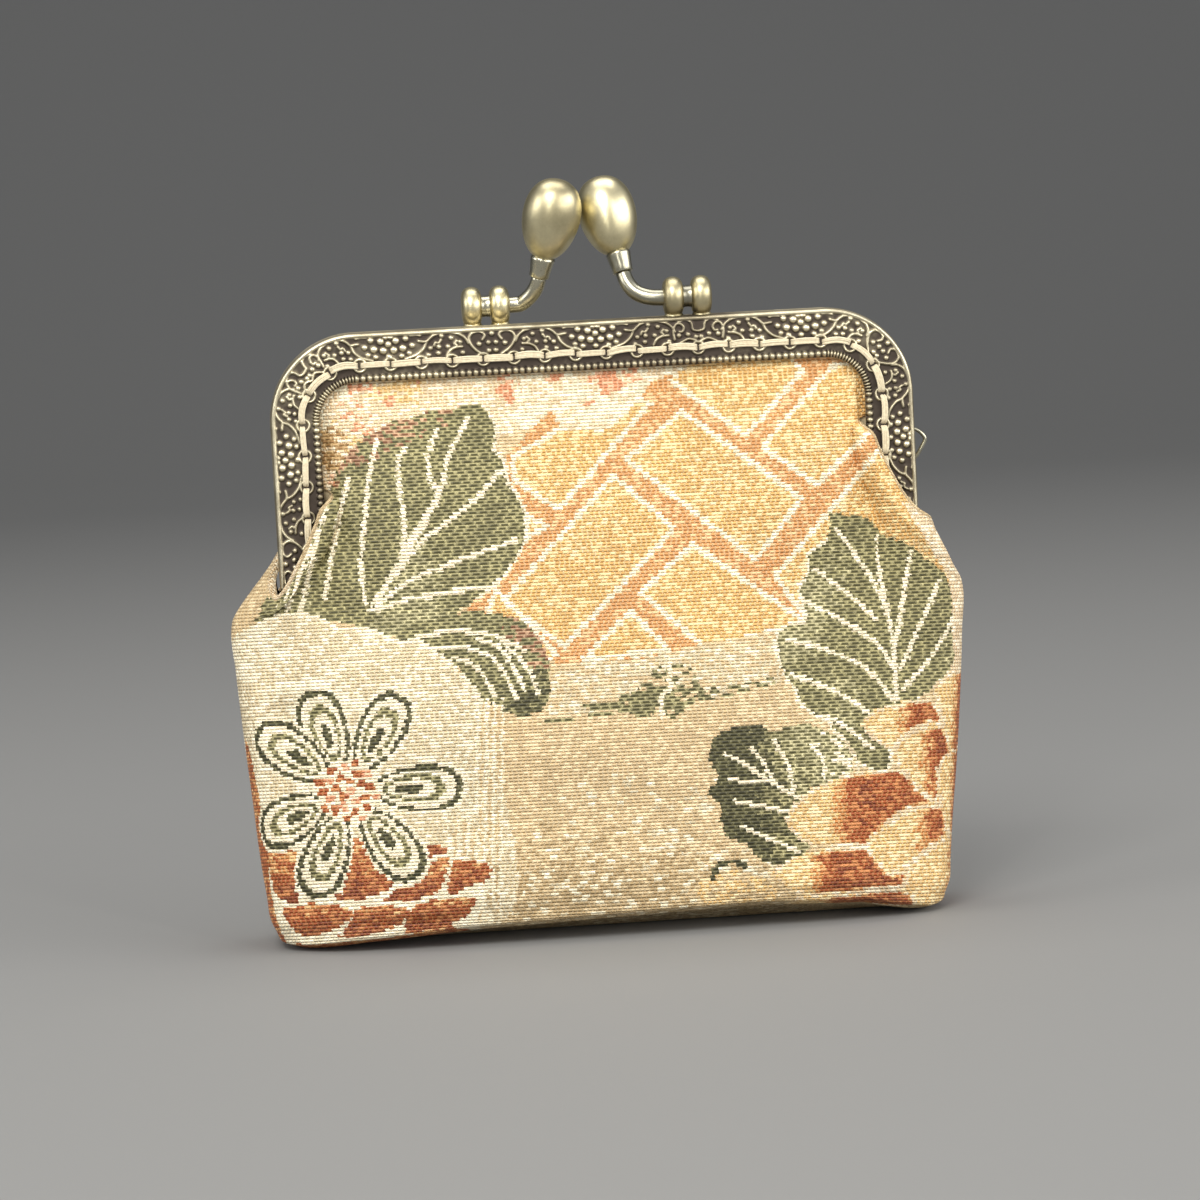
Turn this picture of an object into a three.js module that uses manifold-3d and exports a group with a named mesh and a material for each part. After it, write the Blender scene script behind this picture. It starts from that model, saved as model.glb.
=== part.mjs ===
// Small fabric pouch in a sew-in metal frame with a kiss-lock clasp, shown closed and standing.
// Millimetres, Z up, X to the right, the front faces -Y, origin in the middle of the base.
import * as THREE from 'three';
import Module from 'manifold-3d';

const wasm = await Module();
wasm.setup();
const { Manifold } = wasm;

// Frame sizes
const TOP = 80.5;
const HALF_WIDTH = 42.5;
const ARM_LENGTH = 32.9;
const CORNER_RADIUS = 11.5;
const FLANGE_END = 28.0;
const HALF_GAP = 0.15;
const CORNER_FACETS = 5;

// Band section: distance in from the outer edge, distance forward from the closing plane
const BAND_SECTION = [
  { inward: 0, forward: HALF_GAP },
  { inward: 0, forward: 4.0 },
  { inward: 0.3, forward: 4.6 },
  { inward: 0.75, forward: 4.8 },
  { inward: 1.15, forward: 4.65 },
  { inward: 1.35, forward: 4.35 },
  { inward: 5.7, forward: 4.35 },
  { inward: 5.8, forward: 4.7 },
  { inward: 6.3, forward: 4.7 },
  { inward: 6.5, forward: 4.3 },
  { inward: 6.5, forward: 3.7 },
  { inward: 0.9, forward: 3.7 },
  { inward: 0.9, forward: HALF_GAP },
];

// Lower end of the band's face, cut on a slant that the cloth covers: in from the edge, below the top
const ARM_CUT = [
  { inward: 9.5, drop: 22.4 },
  { inward: 6.2, drop: 22.7 },
  { inward: 5.3, drop: 25.5 },
  { inward: 3.5, drop: 29.1 },
  { inward: 1.9, drop: 31.8 },
  { inward: 0.7, drop: 33.4 },
  { inward: 0.7, drop: 36 },
  { inward: 9.5, drop: 36 },
];

// Stitch holes
const HOLE_PITCH = 4.05;
const HOLE_INWARD = 4.3;
const HOLE_RADIUS = 0.55;

// Raised relief along the band: place along the edge from the top middle, kind
const RELIEF = [
  { along: -61, kind: 'berries' },
  { along: -53.5, kind: 'scroll' },
  { along: -40.5, kind: 'shield' },
  { along: -33.5, kind: 'scroll' },
  { along: -26, kind: 'berries' },
  { along: -19.5, kind: 'scroll' },
  { along: -12.5, kind: 'shield' },
  { along: -6.5, kind: 'scroll' },
  { along: 0.8, kind: 'berries' },
  { along: 7.5, kind: 'scroll' },
  { along: 14.5, kind: 'shield' },
  { along: 21, kind: 'scroll' },
  { along: 28, kind: 'berries' },
  { along: 34.5, kind: 'scroll' },
  { along: 41.5, kind: 'shield' },
  { along: 54, kind: 'scroll' },
];
const RELIEF_INWARD = 2.35;
const RELIEF_RISE = 0.42;

// Cloth sizes
const CLOTH = 1.5;
const HEM_CLOTH = 1.25;
const SEAM = 0.15;

// Body of the pouch: height below the frame top, reach beyond the frame on each side, depth to the
// front, squareness, share of the floor thickness
const BODY = [
  { drop: 38, left: 6.7, right: 6, depth: 10.6, power: 2.3, rise: 0 },
  { drop: 44, left: 6.5, right: 5.6, depth: 11.7, power: 2.5, rise: 0 },
  { drop: 52, left: 6, right: 4.9, depth: 12.8, power: 2.8, rise: 0 },
  { drop: 61, left: 5.3, right: 3.9, depth: 13.7, power: 3.1, rise: 0 },
  { drop: 70, left: 4.6, right: 2.7, depth: 14.2, power: 3.5, rise: 0.1 },
  { drop: 77, left: 3.8, right: 2, depth: 13.9, power: 3.7, rise: 0.35 },
  { drop: 79.6, left: 2.7, right: 1.1, depth: 12.9, power: 3.5, rise: 0.8 },
  { drop: 80.5, left: 0.7, right: -0.8, depth: 11.0, power: 3.2, rise: 1 },
];
// Underside, from the front edge to the middle seam: share of the way, share of the half width
const UNDERSIDE = [{ share: 1, narrow: 0.9 }];

// Upper edge of the cloth on one side, from the side seam to the inner edge of the arm.
// Places are [in from the frame's outer edge, forward, below the top].
// hem: the free or hidden edge; out: where the cloth comes out beside the metal; turn: degrees
// between the inward direction of the wall and X; lean: first direction of the cloth below it.
const HEM = [
  { hem: [-0.1, 0.15, 28.5], out: [-0.9, 0.15, 29.7], turn: 0, lean: [0.57, 0, 0.82], place: 0 },
  { hem: [-0.1, 1.7, 28.5], out: [-1, 1.8, 29.9], turn: 4, lean: [0.55, -0.05, 0.83], place: 0.04 },
  { hem: [-0.25, 3.2, 28.9], out: [-1.3, 3.4, 30.8], turn: 20, lean: [0.5, -0.1, 0.86], place: 0.075 },
  { hem: [-1.45, 4.1, 31.9], out: [-1.9, 4.5, 33.2], turn: 35, lean: [0.4, -0.2, 0.9], place: 0.115 },
  { hem: [-0.75, 5.3, 34.1], out: [-0.7, 5.8, 35.2], turn: 60, lean: [0.2, -0.3, 0.93], place: 0.16 },
  { hem: [0.6, 6.4, 33.0], out: [1, 6.9, 34.0], turn: 88, lean: [0.1, -0.35, 0.93], place: 0.2 },
  { hem: [1.9, 6.5, 31.0], out: [2.6, 7.1, 31.9], turn: 90, lean: [0, -0.4, 0.9], place: 0.25 },
  { hem: [3.5, 6.5, 28.2], out: [4.3, 7.2, 28.9], turn: 90, lean: [0, -0.4, 0.9], place: 0.3 },
  { hem: [5.1, 6.5, 24.9], out: [5.9, 7.2, 25.3], turn: 90, lean: [0, -0.4, 0.9], place: 0.34 },
  { hem: [6.1, 6.75, 22.7], out: [6.9, 7.2, 23.0], turn: 90, lean: [0, -0.4, 0.9], place: 0.37 },
  { hem: [7.3, 5.75, 21.5], out: [8.1, 6.3, 21.8], turn: 90, lean: [-0.1, -0.4, 0.9], place: 0.395 },
  { hem: [7.3, 3.5, 20.7], out: [8.2, 4.1, 20.9], turn: 90, lean: [-0.2, -0.4, 0.88], place: 0.42 },
  { hem: [5.6, 3.35, 19.9], out: [7.3, 3.4, 19.6], turn: 90, lean: [-0.3, -0.5, 0.8], place: 0.45 },
  { hem: [1.4, 3.4, 18.8], out: [7.1, 3.4, 18.0], turn: 90, lean: [-0.3, -0.5, 0.8], place: 0.485 },
  { hem: [1.4, 3.4, 15.0], out: [7.1, 3.4, 15.0], turn: 90, lean: [-0.3, -0.5, 0.8], place: 0.53 },
  { hem: [1.4, 3.4, 11.5], out: [7.1, 3.4, 11.5], turn: 90, lean: [-0.3, -0.5, 0.8], place: 0.575 },
];
// The same on the right side, where the cloth laps about 6 mm higher over the arm
const LAP_RIGHT = [
  { hem: [-0.1, 0.15, 28.5], out: [-0.9, 0.15, 29.7] },
  { hem: [-0.1, 1.7, 28.5], out: [-1, 1.8, 29.8] },
  { hem: [-0.25, 3.2, 28.5], out: [-1.3, 3.4, 29.9] },
  { hem: [-1.6, 4.2, 28.6], out: [-2.0, 4.6, 29.9] },
  { hem: [-1.2, 5.6, 28.2], out: [-1.2, 6.0, 29.5] },
  { hem: [0.3, 6.45, 27.3], out: [0.5, 6.9, 28.6] },
  { hem: [1.9, 6.5, 25.4], out: [2.3, 7.1, 26.6] },
  { hem: [3.5, 6.5, 22.6], out: [4.1, 7.2, 23.5] },
  { hem: [5.1, 6.5, 19.2], out: [5.8, 7.2, 19.7] },
  { hem: [6.1, 6.75, 16.8], out: [6.9, 7.2, 17.1] },
  { hem: [7.3, 5.75, 15.6], out: [8.1, 6.3, 15.9] },
  { hem: [7.3, 3.5, 14.9], out: [8.2, 4.1, 15.1] },
  { hem: [5.6, 3.35, 14.2], out: [7.3, 3.4, 13.9] },
  { hem: [1.4, 3.4, 13.4], out: [7.1, 3.4, 12.9] },
  { hem: [1.4, 3.4, 12.4], out: [7.1, 3.4, 12.2] },
  { hem: [1.4, 3.4, 11.5], out: [7.1, 3.4, 11.5] },
];
const HIDDEN_INWARD = 1.35;
const VISIBLE_INWARD = 6.75;
const CORNER_STEPS = 3;
const TOP_SHARES = [0.645, 0.3226, 0];
const SPRING_ROWS = [0.16, 0.36, 0.58, 0.8];

// Soft creases and dents of the cloth: from and to (x as a share of the frame's half width),
// half breadth, sink (negative swells)
const FOLDS = [
  { x0: -1.0235, z0: 50, x1: -0.9765, z1: 79, breadth: 2.6, sink: 0.9 },
  { x0: -1.1059, z0: 41, x1: -0.9412, z1: 52, breadth: 3.4, sink: 0.7 },
  { x0: 1, z0: 46, x1: 0.9459, z1: 76, breadth: 2.6, sink: 0.8 },
  { x0: 0.8706, z0: 27, x1: 0.9882, z1: 44, breadth: 3.2, sink: 0.6 },
  { x0: -0.8471, z0: 27, x1: -0.9882, z1: 42, breadth: 3.2, sink: 0.6 },
  { x0: -0.5176, z0: 12, x1: -0.6118, z1: 26, breadth: 5, sink: -0.5 },
  { x0: 0.4235, z0: 12, x1: 0.5647, z1: 28, breadth: 5, sink: -0.5 },
  { x0: -0.7059, z0: 62, x1: 0.2353, z1: 66, breadth: 6, sink: 0.5 },
  { x0: 0.1882, z0: 72, x1: 0.8, z1: 70, breadth: 5, sink: 0.4 },
];

// Clasp: measured from the middle of the frame top
const SPOOL_X = [11.35, 15.05];
const SPOOL_RISE = 2.5;
const SPOOL_RADIUS = 2.65;
const SPOOL_HALF_BREADTH = 1.33;
const NECK_RADIUS = 1.1;
const CLASP_Y = 2.45;
const ARM_WIRE_RADIUS = 1.08;
const PIN_RADIUS = 0.75;
const CLASPS = [
  { name: 'right', side: 1, half: -1, collarX: 5.1, beadX: 3.5, beadY: 1.6 },
  { name: 'left', side: -1, half: 1, collarX: 6.0, beadX: 4.0, beadY: -1.6 },
];
const COLLAR_RISE = 6;
const BEAD_RISE = 14.1;

// Hinge and wire loop
const RIVET = { y: -1.7, drop: 25.2 };
const EAR = { inward: 1.4, thick: 0.8 };
const LOOP = {
  y: -1.15,
  holes: [16.75, 20.7],
  bends: [[-1.55, 17.2], [-0.4, 16.6], [1.1, 17.2], [1.7, 18.1], [1.2, 19.2], [-0.3, 20.8], [-1.55, 20.3], [-1.6, 18.8]],
};

// Turns a three.js geometry into a solid for joining and cutting
function solid(geometry) {
  const plain = geometry.index ? geometry.toNonIndexed() : geometry;
  const flat = Array.from(plain.attributes.position.array);
  const triangles = flat.map((_, i) => i).slice(0, flat.length / 3);
  const mesh = new wasm.Mesh({
    numProp: 3,
    vertProperties: new Float32Array(flat),
    triVerts: new Uint32Array(triangles),
  });
  mesh.merge();
  return new Manifold(mesh);
}

// Turns a solid back into a named mesh
function named(name, body, colour) {
  const mesh = body.getMesh();
  const geometry = new THREE.BufferGeometry();
  const points = [];
  for (let i = 0; i < mesh.numVert; i += 1) {
    const at = i * mesh.numProp;
    points.push(mesh.vertProperties[at], mesh.vertProperties[at + 1], mesh.vertProperties[at + 2]);
  }
  geometry.setAttribute('position', new THREE.Float32BufferAttribute(points, 3));
  geometry.setIndex(Array.from(mesh.triVerts));
  geometry.computeVertexNormals();
  const result = new THREE.Mesh(geometry, new THREE.MeshStandardMaterial({ color: colour }));
  result.name = name;
  return result;
}

// Closed skin from rings of points, all rings with the same count; the ends are capped flat
function skin(rings) {
  const count = rings[0].length;
  const triangles = [];
  const quad = (a, b, c, d) => triangles.push(a, b, c, a, c, d);
  for (let r = 0; r + 1 < rings.length; r += 1) {
    for (let i = 0; i < count; i += 1) {
      const j = (i + 1) % count;
      quad(rings[r][i], rings[r][j], rings[r + 1][j], rings[r + 1][i]);
    }
  }
  const flatOrder = THREE.ShapeUtils.triangulateShape(flatten(rings[0]), []);
  const first = rings[0];
  const last = rings[rings.length - 1];
  for (const [a, b, c] of flatOrder) {
    triangles.push(first[a], first[c], first[b]);
    triangles.push(last[a], last[b], last[c]);
  }
  return outward(triangles);
}

// Ring of 3-D points laid flat in its own plane
function flatten(ring) {
  const origin = ring[0];
  const edge = ring[1].clone().sub(origin).normalize();
  const normal = new THREE.Vector3();
  for (let i = 0; i < ring.length; i += 1) {
    const a = ring[i].clone().sub(origin);
    const b = ring[(i + 1) % ring.length].clone().sub(origin);
    normal.add(a.cross(b));
  }
  normal.normalize();
  const other = normal.clone().cross(edge);
  return ring.map((p) => {
    const d = p.clone().sub(origin);
    return new THREE.Vector2(d.dot(edge), d.dot(other));
  });
}

// Geometry from a list of corner points, turned so that its faces look outward
function outward(corners) {
  let volume = 0;
  for (let i = 0; i < corners.length; i += 3) {
    volume += corners[i].dot(corners[i + 1].clone().cross(corners[i + 2]));
  }
  const points = [];
  for (let i = 0; i < corners.length; i += 3) {
    const order = volume > 0 ? [0, 1, 2] : [0, 2, 1];
    for (const k of order) {
      points.push(corners[i + k].x, corners[i + k].y, corners[i + k].z);
    }
  }
  const geometry = new THREE.BufferGeometry();
  geometry.setAttribute('position', new THREE.Float32BufferAttribute(points, 3));
  return geometry;
}

// Point on the frame's edge: distance along it from the top middle, distance in from it
function onEdge(along, inward) {
  const side = along < 0 ? -1 : 1;
  const straight = HALF_WIDTH - CORNER_RADIUS;
  const arc = (CORNER_RADIUS * Math.PI) / 2;
  const far = Math.abs(along);
  if (far <= straight) {
    return { x: side * far, z: TOP - inward, nx: 0, nz: -1 };
  }
  const radius = CORNER_RADIUS - inward;
  if (far <= straight + arc) {
    const angle = (far - straight) / CORNER_RADIUS;
    const x = straight + radius * Math.sin(angle);
    const z = TOP - CORNER_RADIUS + radius * Math.cos(angle);
    return { x: side * x, z, nx: -side * Math.sin(angle), nz: -Math.cos(angle) };
  }
  const down = far - straight - arc;
  return { x: side * (HALF_WIDTH - inward), z: TOP - CORNER_RADIUS - down, nx: -side, nz: 0 };
}

const STRAIGHT = HALF_WIDTH - CORNER_RADIUS;
const ARC = (CORNER_RADIUS * Math.PI) / 2;
const EDGE_LENGTH = STRAIGHT + ARC + ARM_LENGTH - CORNER_RADIUS;

// One U-shaped channel half, facing -Y
function bandSweep() {
  const stations = [-EDGE_LENGTH, -STRAIGHT - ARC];
  for (let i = 1; i < CORNER_FACETS; i += 1) stations.push(-STRAIGHT - ARC + (ARC * i) / CORNER_FACETS);
  stations.push(-STRAIGHT, STRAIGHT);
  for (let i = 1; i < CORNER_FACETS; i += 1) stations.push(STRAIGHT + (ARC * i) / CORNER_FACETS);
  stations.push(STRAIGHT + ARC, EDGE_LENGTH);
  const rings = stations.map((along) => BAND_SECTION.map(({ inward, forward }) => {
    const at = onEdge(along, inward);
    return new THREE.Vector3(at.x, -forward, at.z);
  }));
  return solid(skin(rings));
}

// Prism with a drawn outline in the front view, between two depths
function prism(outline, yFront, yBack) {
  const ring = (y) => outline.map((p) => new THREE.Vector3(p.x, y, TOP - p.drop));
  return solid(skin([ring(yFront), ring(yBack)]));
}

function block(x0, x1, y0, y1, z0, z1) {
  const size = new THREE.BoxGeometry(x1 - x0, y1 - y0, z1 - z0);
  size.translate((x0 + x1) / 2, (y0 + y1) / 2, (z0 + z1) / 2);
  return solid(size);
}

function rod(radius, length, sides, axis, x, y, z) {
  const geometry = new THREE.CylinderGeometry(radius, radius, length, sides);
  if (axis === 'x') geometry.rotateZ(Math.PI / 2);
  geometry.translate(x, y, z);
  return solid(geometry);
}

// Low round boss on the face of the band
function boss(along, inward, radius, rise, sides) {
  const at = onEdge(along, inward);
  const ring = (r, y) => {
    const points = [];
    for (let i = 0; i < sides; i += 1) {
      const a = (2 * Math.PI * i) / sides;
      points.push(new THREE.Vector3(at.x + r * Math.cos(a), y, at.z + r * Math.sin(a)));
    }
    return points;
  };
  const face = -4.35;
  return solid(skin([ring(radius * 1.1, face + 0.2), ring(radius * 0.5, face - rise)]));
}

// Raised wire on the band along listed points of the edge
function ridge(points, breadth, rise) {
  const face = -4.35;
  const rings = [];
  for (let i = 0; i < points.length; i += 1) {
    const here = onEdge(points[i][0], points[i][1]);
    const before = onEdge(...points[Math.max(i - 1, 0)]);
    const after = onEdge(...points[Math.min(i + 1, points.length - 1)]);
    const dx = after.x - before.x;
    const dz = after.z - before.z;
    const length = Math.hypot(dx, dz);
    const px = (-dz / length) * breadth * 0.5;
    const pz = (dx / length) * breadth * 0.5;
    rings.push([
      new THREE.Vector3(here.x - px, face + 0.2, here.z - pz),
      new THREE.Vector3(here.x, face - rise, here.z),
      new THREE.Vector3(here.x + px, face + 0.2, here.z + pz),
    ]);
  }
  return solid(skin(rings));
}

// Relief of berries, scrolls and shields, all raised from the band
function relief() {
  const parts = [];
  for (const { along, kind } of RELIEF) {
    if (kind === 'berries') {
      for (const [da, di] of [[-0.75, 0.45], [0.75, 0.45], [0, -0.7]]) {
        parts.push(boss(along + da, RELIEF_INWARD + di, 0.75, RELIEF_RISE, 5));
      }
    }
    if (kind === 'scroll') {
      const turn = along < 0 ? 1 : -1;
      const points = [[-2.6, 0.9], [-1.6, -0.6], [0.3, -0.8], [1.6, 0.3], [0.4, 1.1]];
      parts.push(ridge(points.map(([a, i]) => [along + turn * a, RELIEF_INWARD + i]), 1, RELIEF_RISE));
    }
    if (kind === 'shield') {
      for (const s of [-1, 1]) {
        const points = [[0, 1.3], [1.5, 0.2], [1.3, -0.9], [0.3, -0.5]];
        parts.push(ridge(points.map(([a, i]) => [along + s * a, RELIEF_INWARD + i]), 0.95, RELIEF_RISE));
      }
    }
  }
  return parts;
}

function holes() {
  const drills = [];
  for (let i = -15.5; i <= 15.5; i += 1) {
    const here = holePlace(i * HOLE_PITCH);
    if (TOP - here.z < 29.5) drills.push(rod(HOLE_RADIUS, 3, 5, 'y', here.x, -4.2, here.z));
  }
  return drills;
}

// Stitch holes are evenly spaced along their own line, which is shorter round the corners
function holePlace(run) {
  const side = run < 0 ? -1 : 1;
  const far = Math.abs(run);
  const shortArc = ((CORNER_RADIUS - HOLE_INWARD) * Math.PI) / 2;
  if (far <= STRAIGHT) return onEdge(run, HOLE_INWARD);
  if (far <= STRAIGHT + shortArc) {
    return onEdge(side * (STRAIGHT + ((far - STRAIGHT) * ARC) / shortArc), HOLE_INWARD);
  }
  return onEdge(side * (far - shortArc + ARC), HOLE_INWARD);
}

// Smooth round wire through points, with its own radius at each
function wire(points, radii, sides, closed) {
  const curve = new THREE.CatmullRomCurve3(points, closed, 'centripetal');
  const steps = closed ? points.length * 2 : (points.length - 1) * 2;
  const frames = curve.computeFrenetFrames(steps, closed);
  const rings = [];
  const total = closed ? steps : steps + 1;
  for (let i = 0; i < total; i += 1) {
    const t = i / steps;
    const at = curve.getPoint(t);
    const tangent = curve.getTangent(t);
    const radiusAt = radii.length === 1 ? radii[0] : pick(radii, t);
    const side = frames.normals[i].clone();
    side.addScaledVector(tangent, -side.dot(tangent)).normalize();
    const other = tangent.clone().cross(side);
    const ring = [];
    for (let k = 0; k < sides; k += 1) {
      const a = (2 * Math.PI * k) / sides;
      const p = at.clone();
      p.addScaledVector(side, radiusAt * Math.cos(a));
      p.addScaledVector(other, radiusAt * Math.sin(a));
      ring.push(p);
    }
    rings.push(ring);
  }
  if (!closed) return solid(skin(rings));
  const triangles = [];
  for (let r = 0; r < rings.length; r += 1) {
    const next = rings[(r + 1) % rings.length];
    for (let i = 0; i < sides; i += 1) {
      const j = (i + 1) % sides;
      triangles.push(rings[r][i], rings[r][j], next[j], rings[r][i], next[j], next[i]);
    }
  }
  return solid(outward(triangles));
}

function pick(values, t) {
  const place = t * (values.length - 1);
  const i = Math.min(Math.floor(place), values.length - 2);
  return values[i] + (values[i + 1] - values[i]) * (place - i);
}

// Turned solid about an axis from a foot point towards an aim point
function turned(profile, sides, foot, aim) {
  const points = profile.map(([r, h]) => new THREE.Vector2(r, h));
  const geometry = new THREE.LatheGeometry(points, sides);
  const up = aim.clone().sub(foot).normalize();
  const spin = new THREE.Quaternion().setFromUnitVectors(new THREE.Vector3(0, 1, 0), up);
  geometry.applyQuaternion(spin);
  geometry.translate(foot.x, foot.y, foot.z);
  return solid(cleaned(geometry));
}

// Drops the empty triangles where a turned profile meets its axis
function cleaned(geometry) {
  const plain = geometry.toNonIndexed();
  const from = plain.attributes.position;
  const corners = [];
  for (let i = 0; i < from.count; i += 3) {
    const tri = [0, 1, 2].map((k) => new THREE.Vector3().fromBufferAttribute(from, i + k));
    const area = tri[1].clone().sub(tri[0]).cross(tri[2].clone().sub(tri[0])).length();
    if (area > 1e-5) corners.push(...tri);
  }
  return outward(corners);
}

function claspPlaces({ side, half, collarX, beadX, beadY }) {
  const foot = new THREE.Vector3(side * collarX, half * 0.55, TOP + COLLAR_RISE);
  const bead = new THREE.Vector3(side * beadX, beadY, TOP + BEAD_RISE);
  return { foot, bead };
}

// Soldered spool and bent arm on one half of the frame
function claspArm(clasp) {
  const { side, half } = clasp;
  const y = half * CLASP_Y;
  const z = TOP + SPOOL_RISE;
  const parts = [];
  for (const x of SPOOL_X) {
    const wheel = new THREE.SphereGeometry(1, 10, 6);
    wheel.rotateZ(Math.PI / 2);
    wheel.scale(SPOOL_HALF_BREADTH, SPOOL_RADIUS, SPOOL_RADIUS);
    wheel.translate(side * x, y, z);
    parts.push(solid(cleaned(wheel)));
    parts.push(block(side * x - 0.8, side * x + 0.8, y - 1.3, y + 1.3, TOP - 0.5, TOP + 0.9));
  }
  parts.push(rod(NECK_RADIUS, SPOOL_X[1] - SPOOL_X[0], 10, 'x', (side * (SPOOL_X[0] + SPOOL_X[1])) / 2, y, z));
  const { foot, bead } = claspPlaces(clasp);
  const rise = bead.clone().sub(foot).normalize();
  const points = [
    new THREE.Vector3(side * SPOOL_X[0], y, z),
    new THREE.Vector3(side * (SPOOL_X[0] - 2.4), y, z),
    new THREE.Vector3(side * (clasp.collarX + 1.55), y * 0.72, z + 0.75),
    foot.clone().addScaledVector(rise, -0.7),
  ];
  parts.push(wire(points, [ARM_WIRE_RADIUS], 8, false));
  const pinEnd = foot.clone().addScaledVector(rise, 1.5);
  parts.push(wire([foot.clone().addScaledVector(rise, -1.2), foot, pinEnd], [PIN_RADIUS], 8, false));
  return parts;
}

// Bead with its collar, standing on the pin with a small gap all round
function claspBead(clasp) {
  const { foot, bead } = claspPlaces(clasp);
  const profile = [
    [0, 2.0], [1.05, 2.0], [1.05, 0], [1.3, 0], [1.65, 2.5], [1.45, 2.95], [2.3, 3.6], [3.3, 5.2],
    [3.85, 7.4], [3.85, 9.2], [3.35, 11.2], [2.3, 12.7], [1.1, 13.35], [0, 13.5],
  ];
  return turned(profile, 12, foot, bead);
}

// Wall of one panel as two grids of points, the outside and the inside
function panelGrids() {
  return { outer: panelSurface(0), inner: panelSurface(1) };
}

// Columns of the panel: hem place, coming-out place, direction below, share round the body
function panelColumns(side) {
  const across = ([inward, forward, drop]) => [HALF_WIDTH - inward, forward, drop];
  const lap = side > 0 ? LAP_RIGHT : HEM;
  const columns = HEM.map((c, i) => ({ ...c, hem: across(lap[i].hem), out: across(lap[i].out) }));
  const centre = { x: STRAIGHT, drop: CORNER_RADIUS };
  const cornerPlaces = [0.635, 0.695, 0.755];
  for (let i = 1; i <= CORNER_STEPS; i += 1) {
    const angle = (Math.PI / 2) * (i / CORNER_STEPS);
    const on = (inward, y) => [
      centre.x + (CORNER_RADIUS - inward) * Math.cos(angle), y,
      centre.drop - (CORNER_RADIUS - inward) * Math.sin(angle),
    ];
    const lean = [-0.3 * Math.cos(angle), -0.35, 0.85];
    columns.push({ hem: on(HIDDEN_INWARD, 3.4), out: on(VISIBLE_INWARD, 3.4), turn: 90, lean, place: cornerPlaces[i - 1] });
  }
  const topPlaces = [0.84, 0.92, 1];
  TOP_SHARES.forEach((share, i) => {
    const x = share * STRAIGHT;
    columns.push({
      hem: [x, 3.4, HIDDEN_INWARD], out: [x, 3.4, VISIBLE_INWARD], turn: 90, lean: [0, -0.32, 0.9], place: topPlaces[i],
    });
  });
  return columns.map((c) => ({ ...c, side }));
}

function foldSink(x, drop) {
  let sink = 0;
  for (const f of FOLDS) {
    const x0 = f.x0 * HALF_WIDTH;
    const dx = f.x1 * HALF_WIDTH - x0;
    const dz = f.z1 - f.z0;
    const t = Math.max(0, Math.min(1, ((x - x0) * dx + (drop - f.z0) * dz) / (dx * dx + dz * dz)));
    const away = Math.hypot(x - x0 - t * dx, drop - f.z0 - t * dz) / f.breadth;
    sink += f.sink * Math.exp(-away * away);
  }
  return sink;
}

// Point of the body at one row: share 0 is the side seam and 1 the middle of the front
function bodyPoint(row, side, share, layer) {
  const inset = layer * CLOTH;
  const angle = (share * Math.PI) / 2;
  const half = HALF_WIDTH + (side < 0 ? row.left : row.right) - inset;
  const deep = row.depth - SEAM - inset;
  const x = side * half * Math.cos(angle) ** (2 / row.power);
  const fold = share < 0.12 ? 0 : foldSink(x, row.drop) * Math.min(1, (share - 0.12) / 0.1) * (1 - row.rise);
  const y = -SEAM - deep * Math.sin(angle) ** (2 / row.power) + fold;
  return new THREE.Vector3(Math.abs(angle - Math.PI / 2) < 1e-9 ? 0 : x, Math.min(y, -SEAM), TOP - row.drop + layer * CLOTH * row.rise);
}

function panelSurface(layer) {
  const rows = [];
  const left = panelColumns(-1);
  const right = panelColumns(1).reverse().slice(1);
  const columns = left.concat(right);
  const place = (c, spot) => {
    const wall = layer * HEM_CLOTH;
    const turn = (c.turn * Math.PI) / 180;
    const [x, y, drop] = spot;
    const inY = y <= SEAM ? y : y - wall * Math.sin(turn);
    return new THREE.Vector3(c.side * (x - wall * Math.cos(turn)), -Math.max(inY, SEAM), TOP - drop);
  };
  const hem = columns.map((c) => place(c, c.hem));
  const out = columns.map((c) => place(c, c.out));
  const shoulder = columns.map((c) => bodyPoint(BODY[0], c.side, c.place, layer));
  const below = columns.map((c) => bodyPoint(BODY[1], c.side, c.place, layer));
  rows.push(hem);
  rows.push(hem.map((p, i) => p.clone().lerp(out[i], 0.55)));
  rows.push(out);
  for (const t of SPRING_ROWS) {
    rows.push(columns.map((c, i) => spring(c, out[i], shoulder[i], below[i], t)));
  }
  for (const row of BODY) rows.push(columns.map((c) => bodyPoint(row, c.side, c.place, layer)));
  const edge = rows[rows.length - 1];
  for (const { share, narrow } of UNDERSIDE) {
    rows.push(edge.map((p) => {
      const y = -SEAM - (-p.y - SEAM) * (1 - share);
      return new THREE.Vector3(p.x * narrow, y, p.z);
    }));
  }
  return rows;
}

// Cloth springing from the frame to the shoulder of the body
function spring(column, from, to, below, t) {
  const chord = from.distanceTo(to);
  const [lx, ly, lz] = column.lean;
  const first = new THREE.Vector3(column.side * lx, ly, -lz).normalize().multiplyScalar(chord);
  if (column.place === 0) first.y = 0;
  const last = below.clone().sub(to).normalize().multiplyScalar(chord * (column.place < 0.12 ? 0.55 : 0.9));
  const t2 = t * t;
  const t3 = t2 * t;
  const p = new THREE.Vector3();
  p.addScaledVector(from, 2 * t3 - 3 * t2 + 1);
  p.addScaledVector(first, t3 - 2 * t2 + t);
  p.addScaledVector(to, -2 * t3 + 3 * t2);
  p.addScaledVector(last, t3 - t2);
  if (column.place === 0) p.y = -SEAM;
  return p;
}

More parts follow.
